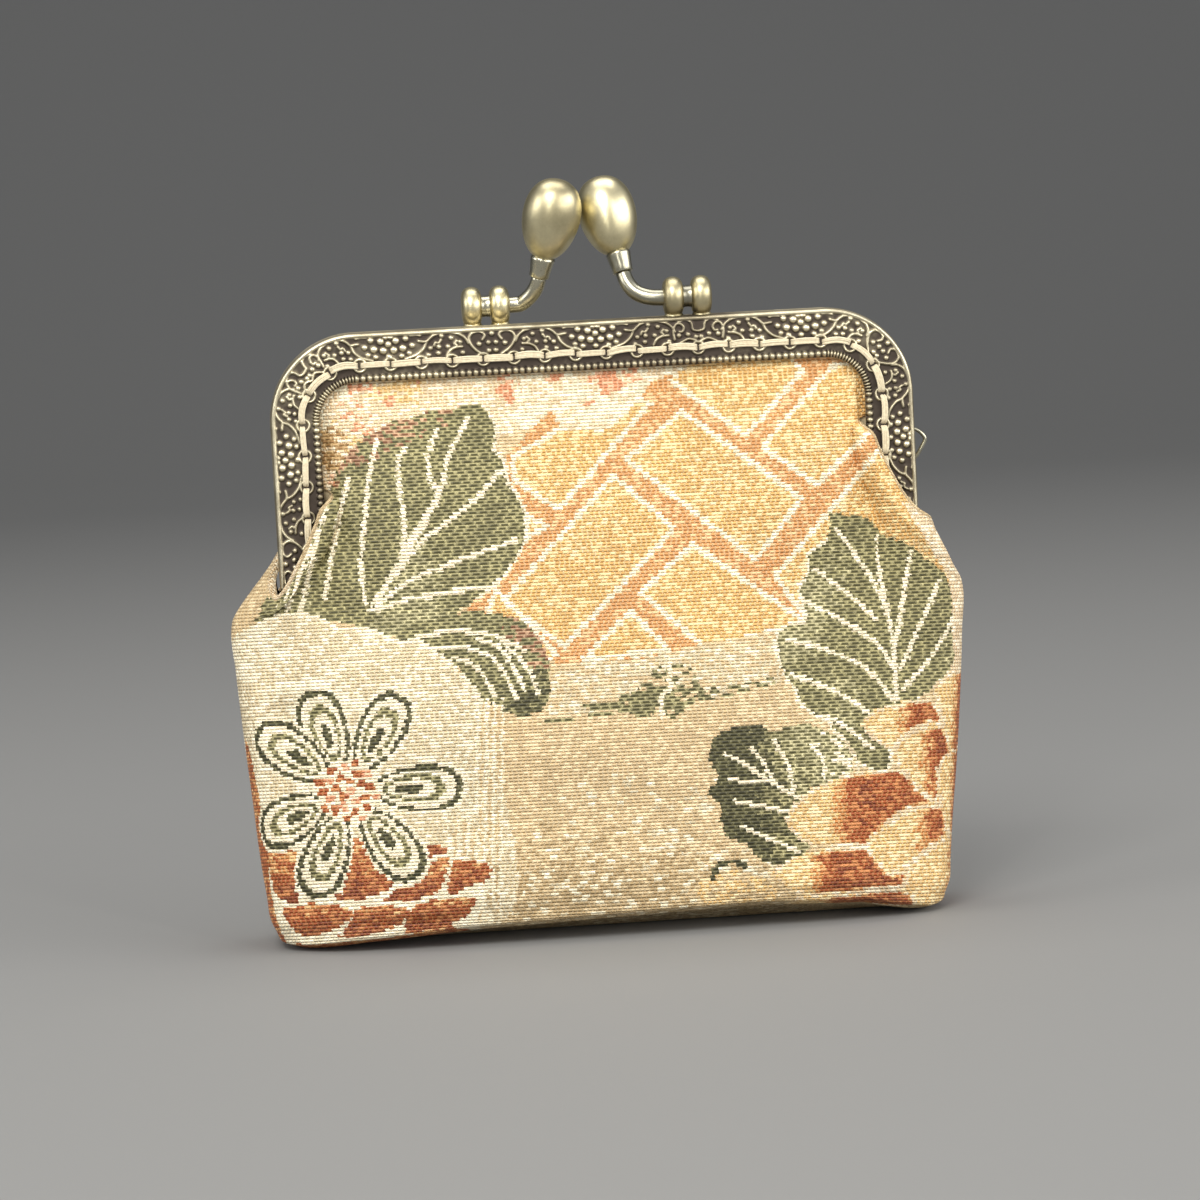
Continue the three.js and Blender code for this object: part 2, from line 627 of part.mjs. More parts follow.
// Closes the two grids into one wall
function wall({ outer, inner }) {
  const corners = [];
  const rows = outer.length;
  const count = outer[0].length;
  const quad = (a, b, c, d) => corners.push(a, b, c, a, c, d);
  for (let r = 0; r + 1 < rows; r += 1) {
    for (let i = 0; i + 1 < count; i += 1) {
      quad(outer[r][i], outer[r + 1][i], outer[r + 1][i + 1], outer[r][i + 1]);
      quad(inner[r][i], inner[r][i + 1], inner[r + 1][i + 1], inner[r + 1][i]);
    }
    quad(outer[r][0], inner[r][0], inner[r + 1][0], outer[r + 1][0]);
    const e = count - 1;
    quad(outer[r][e], outer[r + 1][e], inner[r + 1][e], inner[r][e]);
  }
  const last = rows - 1;
  for (let i = 0; i + 1 < count; i += 1) {
    quad(outer[0][i], outer[0][i + 1], inner[0][i + 1], inner[0][i]);
    quad(outer[last][i], inner[last][i], inner[last][i + 1], outer[last][i + 1]);
  }
  return solid(outward(corners));
}

// Frame halves
const slant = ARM_CUT.map(({ inward, drop }) => ({ x: HALF_WIDTH - inward, drop }));
const cut = prism(slant, -6, 0.5);
const cuts = [cut, cut.mirror([1, 0, 0]), block(-HALF_WIDTH - 9, HALF_WIDTH + 9, -3.69, 1, TOP - 40, TOP - FLANGE_END)];
const band = bandSweep().subtract(Manifold.union(cuts)).subtract(Manifold.union(holes()));
const raised = Manifold.union([band, ...relief()]).simplify(0.03);
const flangeHoles = [
  rod(1.2, 3, 10, 'x', HALF_WIDTH, RIVET.y, TOP - RIVET.drop),
  rod(1.2, 3, 10, 'x', -HALF_WIDTH, RIVET.y, TOP - RIVET.drop),
  ...LOOP.holes.map((drop) => rod(0.75, 3, 8, 'x', HALF_WIDTH, LOOP.y, TOP - drop)),
];
const claspRight = CLASPS.find((c) => c.name === 'right');
const claspLeft = CLASPS.find((c) => c.name === 'left');
const frameFront = Manifold.union([raised.subtract(Manifold.union(flangeHoles)), ...claspArm(claspRight)]);

const ears = [-1, 1].map((side) => {
  const z = TOP - RIVET.drop;
  const inner = side * (HALF_WIDTH - EAR.inward - EAR.thick);
  const outer = side * (HALF_WIDTH - EAR.inward);
  const joined = side * (HALF_WIDTH - 0.4);
  const plate = block(Math.min(inner, outer), Math.max(inner, outer), -3.1, 3.2, z - 2.2, z + 2.2);
  const join = block(Math.min(inner, joined), Math.max(inner, joined), 0.6, 3.2, z - 2.2, z + 2.2);
  return plate.add(join).subtract(rod(0.95, 4, 10, 'x', side * (HALF_WIDTH - 1.8), RIVET.y, z));
});
const frameBack = Manifold.union([raised.mirror([0, 1, 0]), ...ears, ...claspArm(claspLeft)]);

// Rivets: a flush outer head in the front half, a shank through the ear, an inner head
const rivets = [-1, 1].map((side) => {
  const z = TOP - RIVET.drop;
  const parts = [
    rod(0.88, 1.25, 10, 'x', side * (HALF_WIDTH - 0.65), RIVET.y, z),
    rod(0.62, 1.7, 10, 'x', side * (HALF_WIDTH - 1.85), RIVET.y, z),
    rod(1.3, 0.6, 10, 'x', side * (HALF_WIDTH - 2.85), RIVET.y, z),
  ];
  return Manifold.union(parts);
});

// Bent triangular loop through the right side of the frame
const loopPoints = LOOP.bends.map(
  ([beyond, drop]) => new THREE.Vector3(HALF_WIDTH + beyond, LOOP.y, TOP - drop),
);
const loop = wire(loopPoints, [0.28], 5, true);

const front = wall(panelGrids());
const back = front.mirror([0, 1, 0]);

const BRASS = '#a09169';
const BROCADE = '#e2c892';
const pouch = new THREE.Group();
pouch.name = 'fabric_pouch';
pouch.add(named('front_panel', front, BROCADE));
pouch.add(named('back_panel', back, BROCADE));
pouch.add(named('frame_front', frameFront, BRASS));
pouch.add(named('frame_back', frameBack, BRASS));
pouch.add(named('hinge_rivet_left', rivets[0], BRASS));
pouch.add(named('hinge_rivet_right', rivets[1], BRASS));
pouch.add(named('clasp_bead_left', claspBead(claspLeft), BRASS));
pouch.add(named('clasp_bead_right', claspBead(claspRight), BRASS));
pouch.add(named('chain_loop', loop, BRASS));
export default pouch;
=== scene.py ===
"""Small brocade pouch sewn into an embossed antique brass frame, closed, standing on a pale floor."""
import math

import bpy
import numpy as np
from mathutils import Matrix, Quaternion, Vector


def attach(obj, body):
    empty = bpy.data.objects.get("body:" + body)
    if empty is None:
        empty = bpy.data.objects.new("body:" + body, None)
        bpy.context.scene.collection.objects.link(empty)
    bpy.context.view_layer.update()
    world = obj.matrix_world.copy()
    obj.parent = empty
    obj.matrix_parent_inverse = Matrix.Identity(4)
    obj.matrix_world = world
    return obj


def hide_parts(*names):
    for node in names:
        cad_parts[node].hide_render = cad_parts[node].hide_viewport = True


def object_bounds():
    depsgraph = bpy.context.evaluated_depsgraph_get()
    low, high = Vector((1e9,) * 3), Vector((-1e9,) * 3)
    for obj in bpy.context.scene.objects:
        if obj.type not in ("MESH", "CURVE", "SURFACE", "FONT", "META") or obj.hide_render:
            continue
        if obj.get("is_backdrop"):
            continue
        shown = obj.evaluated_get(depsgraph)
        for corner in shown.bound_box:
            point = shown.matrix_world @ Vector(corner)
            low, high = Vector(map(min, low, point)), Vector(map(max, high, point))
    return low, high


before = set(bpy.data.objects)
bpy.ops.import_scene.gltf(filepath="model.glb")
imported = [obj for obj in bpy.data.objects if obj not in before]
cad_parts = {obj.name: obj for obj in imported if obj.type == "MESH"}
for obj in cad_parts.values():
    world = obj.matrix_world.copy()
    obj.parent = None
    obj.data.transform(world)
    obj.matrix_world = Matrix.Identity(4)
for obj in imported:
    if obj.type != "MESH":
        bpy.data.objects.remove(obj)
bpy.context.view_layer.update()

# The pouch cloth
# Two walls of figured silk brocade, cut to one shape and sewn together down the sides and along
# the middle of the boxed bottom. The upper edges go up behind the metal and are stitched to it,
# and below the last stitch the cloth laps over the slanted ends of the arms.

MM = 0.001
TOP = 80.5
FACE = 4.35
FRAME_HALF_WIDTH = 42.5
FRAME_CORNER = 11.5
SEAM = 0.02
WALL = 1.5
HEM_WALL = 1.25
STRAIGHT = FRAME_HALF_WIDTH - FRAME_CORNER
CHANNEL_TOP, CHANNEL_FOOT = 1.35, 6.75
CHANNEL_Y = 3.4

# drop below the frame top, half width left and right, depth to the front, squareness, floor share
BODY = np.array([
    (38, 49.2, 48.5, 10.6, 2.3, 0),
    (44, 49.0, 48.1, 11.7, 2.5, 0),
    (52, 48.5, 47.4, 12.8, 2.8, 0),
    (61, 47.8, 46.4, 13.7, 3.1, 0),
    (70, 47.1, 45.2, 14.2, 3.5, 0.1),
    (77, 46.3, 44.5, 13.9, 3.7, 0.35),
    (79.6, 45.2, 43.6, 12.9, 3.5, 0.8),
    (80.5, 43.2, 41.7, 11.0, 3.2, 1),
])

# hem x, y, drop; where the cloth shows x, y, drop; turn of the wall; first direction; place round the body
HEM = [
    (42.6, 0.15, 28.5, 43.4, 0.15, 29.7, 0, 0.57, 0, 0.82, 0),
    (42.6, 1.7, 28.5, 43.5, 1.8, 29.9, 4, 0.55, -0.05, 0.83, 0.04),
    (42.75, 3.2, 28.9, 43.8, 3.4, 30.8, 20, 0.5, -0.1, 0.86, 0.075),
    (43.95, 4.1, 31.9, 44.4, 4.5, 33.2, 35, 0.4, -0.2, 0.9, 0.115),
    (43.25, 5.3, 34.1, 43.2, 5.8, 35.2, 60, 0.2, -0.3, 0.93, 0.16),
    (41.9, 6.4, 33.0, 41.5, 6.9, 34.0, 88, 0.1, -0.35, 0.93, 0.2),
    (40.6, 6.5, 31.0, 39.9, 7.1, 31.9, 90, 0, -0.4, 0.9, 0.25),
    (39.0, 6.5, 28.2, 38.2, 7.2, 28.9, 90, 0, -0.4, 0.9, 0.3),
    (37.4, 6.5, 24.9, 36.6, 7.2, 25.3, 90, 0, -0.4, 0.9, 0.34),
    (36.4, 6.75, 22.7, 35.6, 7.2, 23.0, 90, 0, -0.4, 0.9, 0.37),
    (35.2, 5.75, 21.5, 34.4, 6.3, 21.8, 90, -0.1, -0.4, 0.9, 0.395),
    (35.2, 3.5, 20.7, 34.3, 4.1, 20.9, 90, -0.2, -0.4, 0.88, 0.42),
    (36.9, 3.35, 19.9, 35.2, 3.4, 19.6, 90, -0.3, -0.5, 0.8, 0.45),
    (41.1, 3.4, 18.8, 35.4, 3.4, 18.0, 90, -0.3, -0.5, 0.8, 0.485),
    (41.1, 3.4, 15.0, 35.4, 3.4, 15.0, 90, -0.3, -0.5, 0.8, 0.53),
    (41.1, 3.4, 11.5, 35.4, 3.4, 11.5, 90, -0.3, -0.5, 0.8, 0.575),
]
# the same places on the right side, where the cloth laps about 6 mm higher over the arm
LAP_RIGHT = [
    (42.6, 0.15, 28.5, 43.4, 0.15, 29.7),
    (42.6, 1.7, 28.5, 43.5, 1.8, 29.8),
    (42.75, 3.2, 28.5, 43.8, 3.4, 29.9),
    (44.1, 4.2, 28.6, 44.5, 4.6, 29.9),
    (43.7, 5.6, 28.2, 43.7, 6.0, 29.5),
    (42.2, 6.45, 27.3, 42.0, 6.9, 28.6),
    (40.6, 6.5, 25.4, 40.2, 7.1, 26.6),
    (39.0, 6.5, 22.6, 38.4, 7.2, 23.5),
    (37.4, 6.5, 19.2, 36.7, 7.2, 19.7),
    (36.4, 6.75, 16.8, 35.6, 7.2, 17.1),
    (35.2, 5.75, 15.6, 34.4, 6.3, 15.9),
    (35.2, 3.5, 14.9, 34.3, 4.1, 15.1),
    (36.9, 3.35, 14.2, 35.2, 3.4, 13.9),
    (41.1, 3.4, 13.4, 35.4, 3.4, 12.9),
    (41.1, 3.4, 12.4, 35.4, 3.4, 12.2),
    (41.1, 3.4, 11.5, 35.4, 3.4, 11.5),
]
for corner_step, corner_place in ((1, 0.635), (2, 0.695), (3, 0.755)):
    corner_turn = math.pi / 2 * corner_step / 3
    corner_cos, corner_sin = math.cos(corner_turn), math.sin(corner_turn)
    hem_radius, out_radius = FRAME_CORNER - CHANNEL_TOP, FRAME_CORNER - CHANNEL_FOOT
    HEM.append((
        STRAIGHT + hem_radius * corner_cos, CHANNEL_Y, FRAME_CORNER - hem_radius * corner_sin,
        STRAIGHT + out_radius * corner_cos, CHANNEL_Y, FRAME_CORNER - out_radius * corner_sin,
        90, -0.3 * corner_cos, -0.35, 0.85, corner_place,
    ))
for top_x, top_place in ((20, 0.84), (10, 0.92), (0, 1.0)):
    HEM.append((top_x, CHANNEL_Y, CHANNEL_TOP, top_x, CHANNEL_Y, CHANNEL_FOOT, 90, 0, -0.32, 0.9, top_place))
HEM = np.array(HEM)
HEM_RIGHT = HEM.copy()
HEM_RIGHT[:len(LAP_RIGHT), :6] = LAP_RIGHT

# creases and swellings: x0, drop0, x1, drop1, half breadth, sink (negative swells)
FOLDS = [
    (-43.5, 50, -41.5, 79, 2.6, 0.9),
    (-47, 41, -40, 52, 3.4, 0.7),
    (42.5, 46, 40.2, 76, 2.6, 0.8),
    (37, 27, 42, 44, 3.2, 0.6),
    (-36, 27, -42, 42, 3.2, 0.6),
    (-22, 12, -26, 26, 5, -0.5),
    (18, 12, 24, 28, 5, -0.5),
    (-30, 62, 10, 66, 6, 0.5),
    (8, 72, 34, 70, 5, 0.4),
    (-36, 22, -30, 33, 1.6, 0.35),
    (36, 22, 31, 34, 1.6, 0.35),
    (-40, 33, -30, 38, 1.8, 0.3),
    (41, 31, 33, 38, 1.8, 0.3),
    (-20, 77.5, 20, 76, 1.6, 0.35),
    (-38, 77, -24, 78.5, 1.2, 0.4),
]


def body_point(row, side, place, layer):
    """Points of the body at one height: place 0 is the side seam and 1 the middle of the front."""
    drop, left, right, depth, power, floor = row
    inset = layer * WALL
    angle = place * math.pi / 2
    half = (left if side < 0 else right) - inset
    x = side * half * np.abs(np.cos(angle)) ** (2 / power)
    y = -SEAM - (depth - SEAM - inset) * np.abs(np.sin(angle)) ** (2 / power)
    return np.array([0.0 if place >= 1 else x, y, TOP - drop + layer * WALL * floor])


def body_row(drop):
    """Row of the body table at any height between its first and last."""
    return np.array([drop] + [np.interp(drop, BODY[:, 0], BODY[:, k]) for k in range(1, 6)])


def hem_point(column, side, layer, start):
    """Place of the hem (start 0) or of where the cloth shows (start 3), on the outside or the inside."""
    x, y, drop = column[start:start + 3]
    turn = math.radians(column[6])
    thick = layer * HEM_WALL
    inner_y = y if y <= SEAM else max(y - thick * math.sin(turn), SEAM)
    return np.array([side * (x - thick * math.cos(turn)), -inner_y, TOP - drop])


def springing(column, side, start, end, below, t):
    """Cloth between the metal and the shoulder of the body."""
    chord = np.linalg.norm(end - start)
    first = np.array([side * column[7], column[8], -column[9]])
    if column[10] == 0:
        first[1] = 0
    first *= chord / np.linalg.norm(first)
    last = (below - end) / np.linalg.norm(below - end) * chord * (0.55 if column[10] < 0.12 else 0.9)
    point = (2 * t**3 - 3 * t**2 + 1) * start + (t**3 - 2 * t**2 + t) * first
    point += (3 * t**2 - 2 * t**3) * end + (t**3 - t**2) * last
    if column[10] == 0:
        point[1] = -SEAM
    return point


def panel_net(layer, spring_steps, body_drops):
    """Net of points over one wall, in rows from the hem down to the seam under the bottom."""
    columns = [(-1, c) for c in HEM] + [(1, c) for c in HEM_RIGHT[::-1][1:]]
    hem = np.array([hem_point(c, s, layer, 0) for s, c in columns])
    out = np.array([hem_point(c, s, layer, 3) for s, c in columns])
    rows = [hem, hem + (out - hem) * 0.55, out]
    for t in spring_steps:
        row = []
        for k, (s, c) in enumerate(columns):
            end = body_point(BODY[0], s, c[10], layer)
            below = body_point(BODY[1], s, c[10], layer)
            row.append(springing(c, s, out[k], end, below, t))
        rows.append(np.array(row))
    for drop in body_drops:
        rows.append(np.array([body_point(body_row(drop), s, c[10], layer) for s, c in columns]))
    edge = rows[-1]
    for share, narrow in ((0.12, 0.985), (0.5, 0.95), (1.0, 0.9)):
        under = edge.copy()
        under[:, 0] *= narrow
        under[:, 1] = -SEAM - (-edge[:, 1] - SEAM) * (1 - share)
        rows.append(under)
    return np.array(rows)


def refine(net, counts):
    """Smooth curve through the points of each row, with the given count of steps in each span."""
    gaps = np.maximum(np.linalg.norm(np.diff(net, axis=1), axis=2), 1e-6)[..., None]
    slope = np.diff(net, axis=1) / gaps
    tangent = np.empty_like(net)
    before, after = gaps[:, :-1], gaps[:, 1:]
    tangent[:, 1:-1] = (before * slope[:, 1:] + after * slope[:, :-1]) / (before + after)
    tangent[:, 0] = slope[:, 0]
    tangent[:, -1] = slope[:, -1]
    pieces = []
    for k, count in enumerate(counts):
        f = (np.arange(count) / count)[None, :, None]
        a, b = net[:, k:k + 1], net[:, k + 1:k + 2]
        ta, tb = tangent[:, k:k + 1] * gaps[:, k:k + 1], tangent[:, k + 1:k + 2] * gaps[:, k:k + 1]
        pieces.append((2 * f**3 - 3 * f**2 + 1) * a + (f**3 - 2 * f**2 + f) * ta
                      + (3 * f**2 - 2 * f**3) * b + (f**3 - f**2) * tb)
    pieces.append(net[:, -1:])
    return np.concatenate(pieces, axis=1)


def fold_sink(x, drop):
    """How far the creases pull the cloth in."""
    sink = np.zeros_like(x)
    for x0, d0, x1, d1, breadth, depth in FOLDS:
        dx, dd = x1 - x0, d1 - d0
        t = np.clip(((x - x0) * dx + (drop - d0) * dd) / (dx * dx + dd * dd), 0, 1)
        away = np.hypot(x - x0 - t * dx, drop - d0 - t * dd) / breadth
        sink += depth * np.exp(-away * away)
    return sink


# The figure is drawn as the camera sees it, so its place on the cloth is worked out from the camera
DISTANCE = 520.0
DRAW_SCALE = 7.58
DRAW_X, DRAW_Y = 592, 321
PICTURE_WIDE = 1200
AZIMUTH, ELEVATION, ROLL = math.radians(-4), math.radians(5), math.radians(3.0)
AIM = np.array([-0.55, -5.0, 43.7])
TOWARDS = np.array([
    math.sin(AZIMUTH) * math.cos(ELEVATION), -math.cos(AZIMUTH) * math.cos(ELEVATION), math.sin(ELEVATION),
])
ACROSS = np.array([math.cos(AZIMUTH), math.sin(AZIMUTH), 0.0])
UPWARD = np.cross(ACROSS, -TOWARDS)


def drawn_place(points):
    """Place of points in the drawing, in millimetres right of and below the middle of the frame top."""
    placed = []
    for spot in (np.array([0, -FACE, TOP]), points):
        from_eye = spot - AIM - TOWARDS * DISTANCE
        shrink = -DISTANCE / (from_eye @ TOWARDS)
        placed.append((from_eye @ ACROSS * shrink, -(from_eye @ UPWARD) * shrink))
    return placed[1][0] - placed[0][0], placed[1][1] - placed[0][1]


SPRING_STEPS = (0.08, 0.18, 0.3, 0.43, 0.57, 0.72, 0.86)
BODY_DROPS = (38, 44, 52, 61, 70, 74, 77, 78.5, 79.6, 80.2, 80.5)
GIRTH_ROW = 12
ARCH_X = [-42, -34, -20, 0, 18, 32, 41]
ARCH_RISE = [0, 0.8, 1.9, 2.4, 2.8, 2.0, 0]
SIDE_REACH = 4.0
UNDER_DROP = 78.6


def cell_counts(line, cell):
    """Steps in each span of a line of points, for cells of one size."""
    return np.maximum(np.round(np.linalg.norm(np.diff(line, axis=0), axis=1) / cell), 3).astype(int)


def fade(value, start, reach):
    """Share that grows from 0 at the start to 1 after the reach."""
    return np.clip((value - start) / reach, 0, 1)


def dense_wall(cell):
    """Outside of one wall as a fine net, with its cloth coordinates in millimetres."""
    net = panel_net(0, SPRING_STEPS, BODY_DROPS)
    net = refine(net, cell_counts(net[GIRTH_ROW], cell))
    lengthwise = cell_counts(net[:, net.shape[1] // 3], cell)
    net = refine(net.transpose(1, 0, 2), lengthwise).transpose(1, 0, 2)
    net[..., 1] = np.minimum(net[..., 1], -SEAM)
    x, y, z = net[..., 0], net[..., 1], net[..., 2]
    drop = TOP - z
    net[..., 1] += fold_sink(x, drop) * fade(-y, 3, 4) * fade(drop, 9, 6) * fade(-drop, -81, 3)
    # The lower front edge is arched up between the corners that the pouch stands on
    net[..., 2] += np.interp(x, ARCH_X, ARCH_RISE) * fade(drop, 66, 13) * fade(-y, 2, 7)
    flat_u, flat_v = drawn_place(net)
    steps = np.linalg.norm(np.diff(net, axis=1), axis=2)
    along = np.concatenate([np.zeros((net.shape[0], 1)), np.cumsum(steps, axis=1)], axis=1)
    half = net.shape[1] // 2
    # Near the side seams the cloth turns away from view, and the figure goes on along the cloth
    for row in range(net.shape[0]):
        k = np.where(flat_u[row, :half] < flat_u[row, :half].min() + SIDE_REACH)[0].max()
        flat_u[row, :k] = flat_u[row, k] - (along[row, k] - along[row, :k])
        k = np.where(flat_u[row, half:] > flat_u[row, half:].max() - SIDE_REACH)[0].min() + half
        flat_u[row, k:] = flat_u[row, k] + (along[row, k:] - along[row, k])
    down = np.linalg.norm(np.diff(net, axis=0), axis=2)
    for row in range(1, net.shape[0]):
        low = drop[row] > UNDER_DROP
        flat_v[row, low] = flat_v[row - 1, low] + down[row - 1, low]
    return net, flat_u, flat_v


def curled_hem(net, inner_hem):
    """Rows that carry the cloth round its hem to the inside."""
    outer_hem, away = net[0], net[0] - net[4]
    away /= np.maximum(np.linalg.norm(away, axis=1), 1e-6)[:, None]
    middle, reach = (outer_hem + inner_hem) / 2, (outer_hem - inner_hem) / 2
    size = np.linalg.norm(reach, axis=1)[:, None]
    rows = []
    for turn in (-90, -60, -30, 0, 30, 60):
        a = math.radians(turn)
        rows.append(middle + reach * math.sin(a) + away * size * 0.55 * math.cos(a))
    return np.array(rows)


def grid_object(name, net, loops=False):
    """Mesh of quads over a net of points given in millimetres."""
    rows, cols = net.shape[:2]
    mesh = bpy.data.meshes.new(name)
    mesh.vertices.add(rows * cols)
    mesh.vertices.foreach_set("co", (net.reshape(-1, 3) * MM).astype(np.float32).ravel())
    r, c = np.meshgrid(np.arange(rows - 1), np.arange(cols if loops else cols - 1), indexing="ij")
    d = (c + 1) % cols
    corners = [r * cols + c, (r + 1) * cols + c, (r + 1) * cols + d, r * cols + d]
    quads = np.stack(corners, axis=-1).reshape(-1, 4)
    mesh.loops.add(quads.size)
    mesh.loops.foreach_set("vertex_index", quads.ravel().astype(np.int32))
    mesh.polygons.add(len(quads))
    mesh.polygons.foreach_set("loop_start", np.arange(0, quads.size, 4, dtype=np.int32))
    mesh.update(calc_edges=True)
    mesh.validate()
    mesh.shade_smooth()
    piece = bpy.data.objects.new(name, mesh)
    bpy.context.scene.collection.objects.link(piece)
    return piece, quads


# The brocade figure, drawn in units of 1/7.58 mm with x to the right and y down, as closed
# outlines and open lines. Each is laid on a chart of threads, one weft row every 0.45 mm.

THREAD_WIDE, THREAD_HIGH = 0.33, 0.45
CHART_LEFT, CHART_TOP = -66.0, -4.0
CHART_COLUMNS, CHART_ROWS = 400, 245

# face of each yarn, the light thread that binds it, which in the bright yarns is also a painted silk
# highlight, and how much of the ground shows between rows
YARNS = {
    "ground": ((0.68, 0.51, 0.28), (0.88, 0.72, 0.46), 0.0),
    # shaded_ground is the ground yarn darkened, a painted shade for where the cloth turns under at the
    # bottom
    "shaded_ground": ((0.50, 0.36, 0.18), (0.70, 0.56, 0.34), 0.0),
    "cream": ((0.70, 0.58, 0.36), (0.99, 0.92, 0.70), 0.0),
    "plank": ((0.78, 0.45, 0.15), (0.98, 0.82, 0.46), 0.0),
    "band": ((0.72, 0.34, 0.12), (0.93, 0.66, 0.37), 0.0),
    "line": ((0.95, 0.85, 0.60), (1.0, 0.95, 0.76), 0.0),
    "olive": ((0.060, 0.054, 0.018), (0.46, 0.41, 0.20), 1.0),
    "sage": ((0.105, 0.095, 0.036), (0.68, 0.61, 0.34), 1.0),
    "deep": ((0.030, 0.028, 0.010), (0.19, 0.175, 0.08), 0.8),
    "brown": ((0.17, 0.064, 0.026), (0.70, 0.45, 0.27), 1.0),
    "bronze": ((0.36, 0.20, 0.075), (0.70, 0.50, 0.25), 0.3),
    "rust": ((0.36, 0.085, 0.022), (0.68, 0.31, 0.12), 0.0),
    "ember": ((0.22, 0.048, 0.016), (0.50, 0.20, 0.08), 0.0),
    "amber": ((0.62, 0.26, 0.08), (0.95, 0.66, 0.33), 0.0),
    "gold": ((0.80, 0.52, 0.21), (1.0, 0.86, 0.54), 0.0),
    "blush": ((0.80, 0.33, 0.17), (0.95, 0.64, 0.42), 0.0),
    "pale": ((0.84, 0.64, 0.39), (1.0, 0.93, 0.73), 0.0),
}
YARN_NAMES = list(YARNS)

chart_u = CHART_LEFT + (np.arange(CHART_COLUMNS) + 0.5) * THREAD_WIDE
chart_v = CHART_TOP + (np.arange(CHART_ROWS) + 0.5) * THREAD_HIGH
chart_uu, chart_vv = np.meshgrid(chart_u, chart_v)
draw_x = DRAW_X + DRAW_SCALE * (chart_uu * math.cos(ROLL) + chart_vv * math.sin(ROLL))
draw_y = DRAW_Y + DRAW_SCALE * (chart_vv * math.cos(ROLL) - chart_uu * math.sin(ROLL))
chart = np.zeros((CHART_ROWS, CHART_COLUMNS), dtype=np.int32)
scatter = np.random.default_rng(7).random(chart.shape)
# The same chance over three threads of a row, so that mixed yarns lie in short dashes
dashes = np.repeat(np.random.default_rng(8).random((CHART_ROWS, CHART_COLUMNS // 3 + 2)), 3, axis=1)
dashes = np.stack([np.roll(dashes[k], k % 3)[:CHART_COLUMNS] for k in range(CHART_ROWS)])


def rounded(points, closed, steps=6):
    """Smooth line through drawn points."""
    p = np.array(points, float)
    n = len(p)
    line = []
    for k in range(n if closed else n - 1):
        a, b = p[k], p[(k + 1) % n]
        before = p[k - 1] if closed or k else a
        after = p[(k + 2) % n] if closed or k + 2 < n else b
        for f in np.arange(steps) / steps:
            line.append(0.5 * (2 * a + (b - before) * f + (2 * before - 5 * a + 4 * b - after) * f**2
                               + (3 * a - before - 3 * b + after) * f**3))
    if not closed:
        line.append(p[-1])
    return np.array(line)


def inside(outline):
    """Threads of the chart inside a closed outline."""
    mask = np.zeros(chart.shape, bool)
    x, y = draw_x, draw_y
    for (x0, y0), (x1, y1) in zip(outline, np.roll(outline, -1, axis=0)):
        if y0 == y1:
            continue
        crossing = (y0 > y) != (y1 > y)
        mask ^= crossing & (x < (x1 - x0) * (y - y0) / (y1 - y0) + x0)
    return mask


def reach_of(line):
    """How far each thread of the chart lies from a line, up to a few threads away."""
    best = np.full(chart.shape, 99.0)
    margin = 16
    for (x0, y0), (x1, y1) in zip(line[:-1], line[1:]):
        middle_u = ((x0 + x1) / 2 - DRAW_X) / DRAW_SCALE
        middle_v = ((y0 + y1) / 2 - DRAW_Y) / DRAW_SCALE
        u = middle_u * math.cos(ROLL) - middle_v * math.sin(ROLL)
        v = middle_u * math.sin(ROLL) + middle_v * math.cos(ROLL)
        half = (math.hypot(x1 - x0, y1 - y0) / 2 + margin) / DRAW_SCALE
        c0 = max(int((u - half - CHART_LEFT) / THREAD_WIDE), 0)
        c1 = max(int((u + half - CHART_LEFT) / THREAD_WIDE) + 2, 0)
        r0 = max(int((v - half - CHART_TOP) / THREAD_HIGH), 0)
        r1 = max(int((v + half - CHART_TOP) / THREAD_HIGH) + 2, 0)
        x, y = draw_x[r0:r1, c0:c1], draw_y[r0:r1, c0:c1]
        if not x.size:
            continue
        dx, dy = x1 - x0, y1 - y0
        t = np.clip(((x - x0) * dx + (y - y0) * dy) / max(dx * dx + dy * dy, 1e-9), 0, 1)
        near = np.hypot(x - x0 - t * dx, y - y0 - t * dy)
        best[r0:r1, c0:c1] = np.minimum(best[r0:r1, c0:c1], near)
    return best


def weave(mask, yarn, share=1.0):
    """Lays a yarn on the threads of a mask, all of them or in dashes for a share below 1."""
    chart[mask & (dashes < share)] = YARN_NAMES.index(yarn)


def fill(points, yarn, smooth=True, share=1.0):
    """Lays a yarn inside a closed outline."""
    mask = inside(rounded(points, True) if smooth else np.array(points, float))
    weave(mask, yarn, share)
    return mask


def trace(points, yarn, width, closed=False, smooth=True, within=None, share=1.0):
    """Lays a yarn along a drawn line."""
    line = rounded(points, closed) if smooth else np.array(points, float)
    if closed:
        line = np.vstack([line, line[:1]])
    mask = reach_of(line) < width / 2
    if within is not None:
        mask &= within
    weave(mask, yarn, share)


def clouds(wide, high, seed, lean=0.0):
    """Soft patches between 0 and 1, wide by high in drawing units, leaning by a slope."""
    grid = np.random.default_rng(seed).random((60, 60))
    x = (draw_x + draw_y * lean) / wide % 59
    y = draw_y / high % 59
    x0, y0 = np.floor(x).astype(int) % 59, np.floor(y).astype(int) % 59
    fx, fy = x - np.floor(x), y - np.floor(y)
    fx, fy = fx * fx * (3 - 2 * fx), fy * fy * (3 - 2 * fy)
    top = grid[y0, x0] * (1 - fx) + grid[y0, x0 + 1] * fx
    low = grid[y0 + 1, x0] * (1 - fx) + grid[y0 + 1, x0 + 1] * fx
    return top * (1 - fy) + low * fy


def ramp(value, low, high):
    """Share that eases from 0 at the low value to 1 at the high one."""
    t = np.clip((value - low) / (high - low), 0, 1)
    return t * t * (3 - 2 * t)


